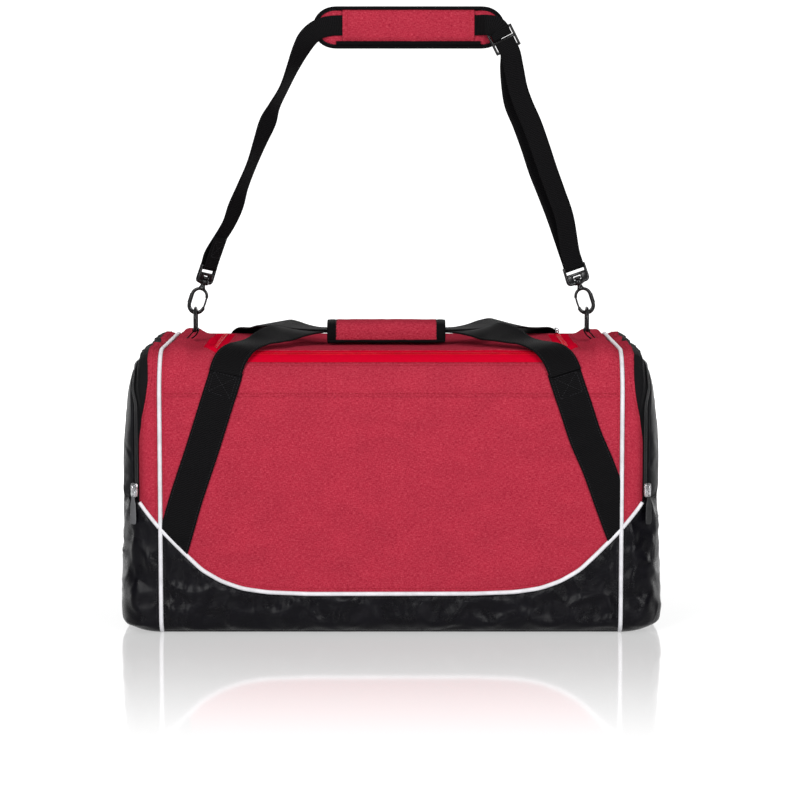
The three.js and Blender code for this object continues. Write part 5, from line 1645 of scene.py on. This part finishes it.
# sewn channels across the back of the pad, after the remesh
co = np.array([q.co for q in pad.data.vertices]) * 1000
back = smooth(5.0, 8.5, co[:, 1])
for cx in (-56, -30, -4, 22, 48, 74, 100):
    co[:, 1] -= 2.0 * back * np.exp(-((co[:, 0] - cx) / 2.6) ** 2) * smooth(0, 10, 22 - np.abs(co[:, 2] - PCZ) + 4)
co[:, 1] += 0.35 * noise3(co / 22, 101) * back
pad.data.vertices.foreach_set("co", (co / 1000).astype(np.float32).ravel())
flat_uv(pad)
pad.data.materials.append(RED)
nor_ = np.empty(len(pad.data.polygons) * 3)
pad.data.polygons.foreach_get("normal", nor_)
pad.data.polygons.foreach_set("material_index", (nor_.reshape(-1, 3)[:, 1] < -0.6).astype(np.int32))
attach(pad, "pad")
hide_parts("pad_base")

# bound edge round the pad
B = Build()
line = resample(np.array(pad_outline(1.7)), 2.4, closed=True)
k_ = np.ones(5) / 5
line = np.stack([np.convolve(np.concatenate([line[-2:, i], line[:, i], line[:2, i]]), k_, "valid") for i in range(2)], -1)
p = np.stack([line[:, 0], np.full(len(line), 5.2) + 0.3 * np.sin(line[:, 0] / 11), line[:, 1]], -1)
out_n = unit(np.stack([np.gradient(line[:, 1]), 0 * line[:, 0], -np.gradient(line[:, 0])], -1))
prof = [(4.3 * math.copysign(abs(math.cos(a)) ** 0.6, math.cos(a)), 2.7 * math.copysign(abs(math.sin(a)) ** 0.8, math.sin(a))) for a in np.arange(16) * 2 * math.pi / 16]
v, f, uv = sweep(p, out_n, prof, closed=True)
B.add(v, f, uv)
o = B.done("pad_edge_binding", BINDING)
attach(o, "pad")
B = Build()
inner = resample(np.array(pad_outline(3.6)), 2.4, closed=True)
p = np.stack([inner[:, 0], np.full(len(inner), 0.95), inner[:, 1]], -1)
stitches(B, np.vstack([p, p[:1]]), np.tile([0, -1.0, 0], (len(p) + 1, 1)), 2.4, 1.1, 0.3, 0.05)
o = B.done("pad_edge_stitching", THREAD_BLACK)
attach(o, "pad")

# red cover: a padded panel over the strap, sewn to the pad above and below it
CX0, CX1, CZ0, CZ1 = -60.5, 103.5, 716.6, 757.6
nx, nz = 110, 40
xs, zs = np.linspace(0, 1, nx + 1), np.linspace(0, 1, nz + 1)
v, uv = [], []
for i, a in enumerate(xs):
    for j, b in enumerate(zs):
        x, z = CX0 + (CX1 - CX0) * a, CZ0 + (CZ1 - CZ0) * b
        v.append((x, 0.0, z))
        uv.append((x, z))
v = np.array(v)
A_, B_ = np.repeat(xs, nz + 1), np.tile(zs, nx + 1)
over = smooth(0.0, 0.17, B_) * smooth(0.0, 0.17, 1 - B_)
lift_c = 0.35 + 2.7 * over
crown = 1.0 * np.sin(np.pi * np.clip((B_ - 0.08) / 0.84, 0, 1)) * (0.75 + 0.25 * np.sin(np.pi * A_))
near = lambda x0: np.exp(-((v[:, 0] - x0) / 1.5) ** 2)
crown -= 0.9 * (near(CX0 + 6) + near(CX1 - 6)) * over
crown += 0.35 * noise3(np.stack([v[:, 0] / 19, v[:, 2] / 13, 0 * v[:, 0]], -1), 111) + 0.22 * noise3(np.stack([v[:, 0] / 8, v[:, 2] / 21, 0 * v[:, 0] + 4], -1), 113) * over
v[:, 1] = 1.1 - lift_c - crown
n_ = np.tile([0.0, -1.0, 0.0], (len(v), 1))
quads = np.array([(i * (nz + 1) + j, (i + 1) * (nz + 1) + j, (i + 1) * (nz + 1) + j + 1, i * (nz + 1) + j + 1) for i in range(nx) for j in range(nz)])
cover_sheet = (np.hstack([v, v, n_, np.array(uv)]), quads, [])
o = panel("pad_red_cover", cover_sheet, [], (RED, LINING), "pad", low=-0.9, high=0.0, replaces="pad_cover")
B = Build()


def on_cover(x, z):
    i = int(np.clip(round((x - CX0) / (CX1 - CX0) * nx), 0, nx))
    j = int(np.clip(round((z - CZ0) / (CZ1 - CZ0) * nz), 0, nz))
    return (x, v[i * (nz + 1) + j, 1] - 0.1, z)


for x in (CX0 + 6.0, CX1 - 6.0):
    q = np.array([on_cover(x, z) for z in np.linspace(CZ0 + 1, CZ1 - 1, 40)])
    stitches(B, q, np.tile([0, -1.0, 0], (40, 1)), 2.3, 1.1, 0.32, 0.0)
for z in (CZ0 + 2.2, CZ1 - 2.2):
    q = np.array([on_cover(x, z) for x in np.linspace(CX0 + 1, CX1 - 1, 120)])
    stitches(B, q, np.tile([0, -1.0, 0], (120, 1)), 2.3, 1.1, 0.3, 0.0)
o = B.done("pad_cover_stitching", THREAD_RED)
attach(o, "pad")
# bindings along the top and the foot of the cover
B = Build()
for z, r, ry in ((CZ1 + 0.2, 1.5, 1.6), (CZ0 - 1.3, 2.6, 1.5)):
    xs_ = np.linspace(CX0 - 8, CX1 + 8, 100)
    p = np.stack([xs_, 0.4 + 0.25 * np.sin(xs_ / 17), np.full_like(xs_, z)], -1)
    vv, ff, uu = sweep(p, np.tile([0, -1.0, 0], (100, 1)), [(r * math.copysign(abs(math.cos(a)) ** 0.7, math.cos(a)), ry * math.sin(a)) for a in np.arange(14) * 2 * math.pi / 14])
    B.add(vv, ff, uu)
o = B.done("pad_cover_binding", BINDING)
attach(o, "pad")


# ------------------------------------------------------------- zip sliders
def slider(w, l, h):
    B = Build()
    pts = [(-w * 0.34, -l / 2), (w * 0.34, -l / 2), (w * 0.44, -l * 0.38), (w / 2, -l / 6), (w / 2, l * 0.32), (w * 0.42, l * 0.46), (w * 0.16, l / 2),
           (-w * 0.16, l / 2), (-w * 0.42, l * 0.46), (-w / 2, l * 0.32), (-w / 2, -l / 6), (-w * 0.44, -l * 0.38)]
    v, f = prism(pts, h * 0.56, h, 0.45)
    B.add(v, f)
    v, f = prism([(x * 0.97, y * 0.98) for x, y in pts], 0.0, h * 0.34, 0.3)
    B.add(v, f)
    v, f = rbox(-w * 0.16, w * 0.16, -l * 0.05, l * 0.44, 0.2, h * 0.8, 0.3)
    B.add(v, f)
    arch = spline(np.array([(0, -l * 0.33, h - 0.5), (0, -l * 0.33, h + 1.8), (0, -l * 0.27, h + 2.75), (0, 0, h + 2.95), (0, l * 0.27, h + 2.75), (0, l * 0.33, h + 1.8), (0, l * 0.33, h - 0.5)]), 36)
    v, f, uv = sweep(arch, np.tile([1.0, 0, 0], (len(arch), 1)), [(0.42 * math.cos(a) * 1.2, 1.15 * math.copysign(abs(math.sin(a)) ** 0.6, math.sin(a))) for a in np.arange(12) * math.pi / 6])
    B.add(v, f, uv)
    return B


def puller(w, body, h, tag, length, rubber):
    """Wire eye inside the bridge and a moulded grip hanging from it."""
    a = 1.4 - 0.2 * body
    far = math.hypot(0.34 * body + a, 2.35) + 0.6
    z = h + 1.05
    B = Build()
    eye = [(-w / 2 + 0.6, a - 0.1), (w / 2 - 0.6, a - 0.1), (w / 2 - 0.55, a - far * 0.55), (w / 2 - 0.9, a - far - 0.7), (-w / 2 + 0.9, a - far - 0.7), (-w / 2 + 0.55, a - far * 0.55)]
    p = resample(np.array([(x, y, z) for x, y in eye]), 0.5, closed=True)
    v, f, uv = sweep(p, np.tile([0, 0, 1.0], (len(p), 1)), circle(0.62, 8, 0.66), closed=True)
    B.add(v, f, uv, 0)
    b = a - far - 1.0
    n = 26
    ys = np.linspace(b + 0.6, b - length, n)
    u = np.linspace(0, 1, n)
    half = np.interp(u, [0, 0.05, 0.14, 0.3, 0.8, 0.95, 1.0], [0.30 * w, 0.40 * w, 0.40 * w, tag * 0.44, tag * 0.5, tag * 0.47, tag * 0.30])
    th = np.interp(u, [0, 0.06, 0.2, 0.85, 1.0], [0.5, 0.72, 0.7, 0.75, 0.4])
    if rubber:
        th = th + 0.13 * (np.sin(u * length / 1.25) > 0.1) * (u > 0.25) * (u < 0.9)
    prof = np.array([[(hh * math.copysign(abs(math.cos(q)) ** 0.55, math.cos(q)), tt * math.copysign(abs(math.sin(q)) ** 0.8, math.sin(q))) for q in np.arange(14) * 2 * math.pi / 14]
                     for hh, tt in zip(half, th)])
    v, f, uv = sweep(np.stack([0 * ys, ys, 0 * ys + z], -1), np.tile([0, 0, 1.0], (n, 1)), prof)
    B.add(v, f, uv, 1)
    return B


MS = np.array([U_HALF, 117.0, 343 + 1.4 + 0.3])
B = slider(5.4, 11, 2.6).place(lambda v: v + MS)
o = B.done("main_zip_slider", CHROME)
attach(o, "main_zip_slider")
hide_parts("main_slider")
B = puller(5.2, 11, 2.6, 5.2, 26, False).place(lambda v: v * np.array([-1, -1, 1]) + MS)
o = B.done("main_zip_pull_tab", CHROME, RUBBER_BLACK)
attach(o, "main_zip_pull")
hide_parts("main_slider_pull")

phi_ = math.asin((307.4 - MAIN_HALF) / CAP)
hd_ = 165 - 43 * (1 - math.cos(phi_))
beta = math.atan(43 * math.sin(phi_) / (CAP * math.cos(phi_)))
for side, s in (("left", -1.0), ("right", 1.0)):
    off = 1.3 + 0.9
    Rx = np.array([[1, 0, 0], [0, 0, -1], [0, 1, 0.0]])          # local z -> -y, local y -> z
    b_ = s * beta
    Rz = np.array([[math.cos(b_), -math.sin(b_), 0], [math.sin(b_), math.cos(b_), 0], [0, 0, 1.0]])
    R = Rz @ Rx
    at = np.array([s * (307.4 + off * math.sin(beta)), -(hd_ + off * math.cos(beta)), POCKET_Z + 10])
    put = (lambda R, at: (lambda v: v @ R.T + at))(R, at)
    B = slider(9.2, 17, 3).place(put)
    o = B.done(f"{side}_zip_slider", CHROME)
    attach(o, f"{side}_zip_slider")
    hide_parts(f"{side}_pocket_slider")
    B = puller(6.4, 15, 3, 9.4, 34, True).place(put)
    o = B.done(f"{side}_zip_pull_tab", CHROME, RUBBER_GREY if s < 0 else RUBBER_BLACK)
    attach(o, f"{side}_zip_pull")
    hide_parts(f"{side}_pocket_pull")


# ------------------------------------------------------- floor and lights
def add_backdrop():
    """Pale paper that runs along the floor and curves up behind."""
    prof = [(y, 0.0) for y in np.linspace(-6, 2.2, 30)]
    prof += [(2.2 + 1.6 * math.sin(a * RAD), 1.6 - 1.6 * math.cos(a * RAD)) for a in np.linspace(0, 90, 20)[1:]]
    prof += [(3.8, z) for z in np.linspace(1.6, 6, 12)[1:]]
    xs = np.linspace(-7, 7, 15)
    verts = [(x, y, z) for x in xs for y, z in prof]
    m = len(prof)
    faces = [(i * m + j, i * m + j + 1, (i + 1) * m + j + 1, (i + 1) * m + j) for i in range(len(xs) - 1) for j in range(m - 1)]
    me = bpy.data.meshes.new("backdrop")
    me.from_pydata(verts, [], [tuple(reversed(q)) for q in faces])
    me.polygons.foreach_set("use_smooth", [True] * len(me.polygons))
    o = bpy.data.objects.new("backdrop", me)
    bpy.context.collection.objects.link(o)
    n_ = Nodes("backdrop_paper")
    place = n_.place()
    y = n_.split(place)[1]
    t = n_.t.nodes.new("ShaderNodeMapRange")
    t.interpolation_type = "SMOOTHSTEP"
    t.inputs["From Min"].default_value, t.inputs["From Max"].default_value = -0.2, -0.85
    t.inputs["To Min"].default_value, t.inputs["To Max"].default_value = 0.0, 1.0
    n_.link(y, t.inputs["Value"])
    away = t.outputs[0]
    far = n_.math("GREATER_THAN", y, -1.2)
    back = n_.math("MULTIPLY", n_.math("SUBTRACT", y, 0.2), 0.5, clamp=True)
    glow = n_.math("MAXIMUM", n_.math("MULTIPLY_ADD", away, 0.34, 0.42), n_.math("MULTIPLY_ADD", back, 0.62, 0.42))
    grain = n_.noise(place, 90.0, 3.0, 0.6)
    col = n_.mix(grain, (0.26, 0.26, 0.26), (0.27, 0.27, 0.27))
    n_.link(n_.math("MULTIPLY_ADD", n_.math("MULTIPLY", glow, far), 1.0, 0.03), n_.b.inputs["Emission Strength"])
    n_.b.inputs["Emission Color"].default_value = (1.0, 1.0, 1.0, 1.0)
    n_.link(n_.math("MULTIPLY_ADD", away, -0.4, 0.4), n_.b.inputs["Specular IOR Level"])
    me.materials.append(n_.set(col, 0.07, 0.0, None))


def add_surround():
    """White studio walls all round, for the other viewing angles. They light nothing."""
    n, r = 64, 9.0
    verts = [(r * math.cos(i * 2 * math.pi / n), r * math.sin(i * 2 * math.pi / n), z) for z in (-0.004, 12.0) for i in range(n)]
    faces = [tuple(range(n))] + [(i, (i + 1) % n, n + (i + 1) % n, n + i) for i in range(n)]
    verts += [(-9, -1.17, 0.0006), (9, -1.17, 0.0006), (9, -9, 0.0006), (-9, -9, 0.0006)]
    faces.append((2 * n, 2 * n + 1, 2 * n + 2, 2 * n + 3))
    me = bpy.data.meshes.new("studio_walls")
    me.from_pydata(verts, [], faces)
    o = bpy.data.objects.new("studio_walls", me)
    bpy.context.collection.objects.link(o)
    n_ = Nodes("studio_wall_paint")
    grain = n_.noise(n_.place(), 3.0, 2.0, 0.5)
    n_.b.inputs["Emission Color"].default_value = (1.0, 1.0, 1.0, 1.0)
    n_.b.inputs["Emission Strength"].default_value = 1.0
    me.materials.append(n_.set(n_.mix(grain, (0.02, 0.02, 0.02), (0.03, 0.03, 0.03)), 0.9, 0.0, None, Specular_IOR_Level=0.0))
    o.visible_diffuse = o.visible_glossy = o.visible_transmission = o.visible_volume_scatter = o.visible_shadow = False


add_backdrop()
add_surround()
world = bpy.data.worlds.new("studio")
world.use_nodes = True
world.node_tree.nodes["Background"].inputs[0].default_value = (1.0, 1.0, 1.0, 1.0)
world.node_tree.nodes["Background"].inputs[1].default_value = 0.14
bpy.context.scene.world = world


def area(name, loc, target, size, power, size_y=None):
    l = bpy.data.lights.new(name, "AREA")
    l.energy = power
    l.size = size
    if size_y:
        l.shape = "RECTANGLE"
        l.size_y = size_y
    o = bpy.data.objects.new(name, l)
    o.location = loc
    o.rotation_euler = (Vector(target) - Vector(loc)).to_track_quat("-Z", "Y").to_euler()
    bpy.context.collection.objects.link(o)


area("key", (-1.3, -2.5, 2.0), (0, 0, 0.3), 0.9, 51)
area("fill", (1.7, -2.6, 1.5), (0, 0, 0.25), 0.9, 39)
area("top", (0.1, -0.5, 2.5), (0, 0, 0.3), 1.1, 9)
area("low_left", (-1.3, -3.0, 0.95), (0, 0, 0.12), 0.32, 23, 0.7)
area("low_right", (1.3, -3.0, 0.85), (0, 0, 0.12), 0.32, 20, 0.7)
bpy.context.scene.view_settings.view_transform = "Standard"
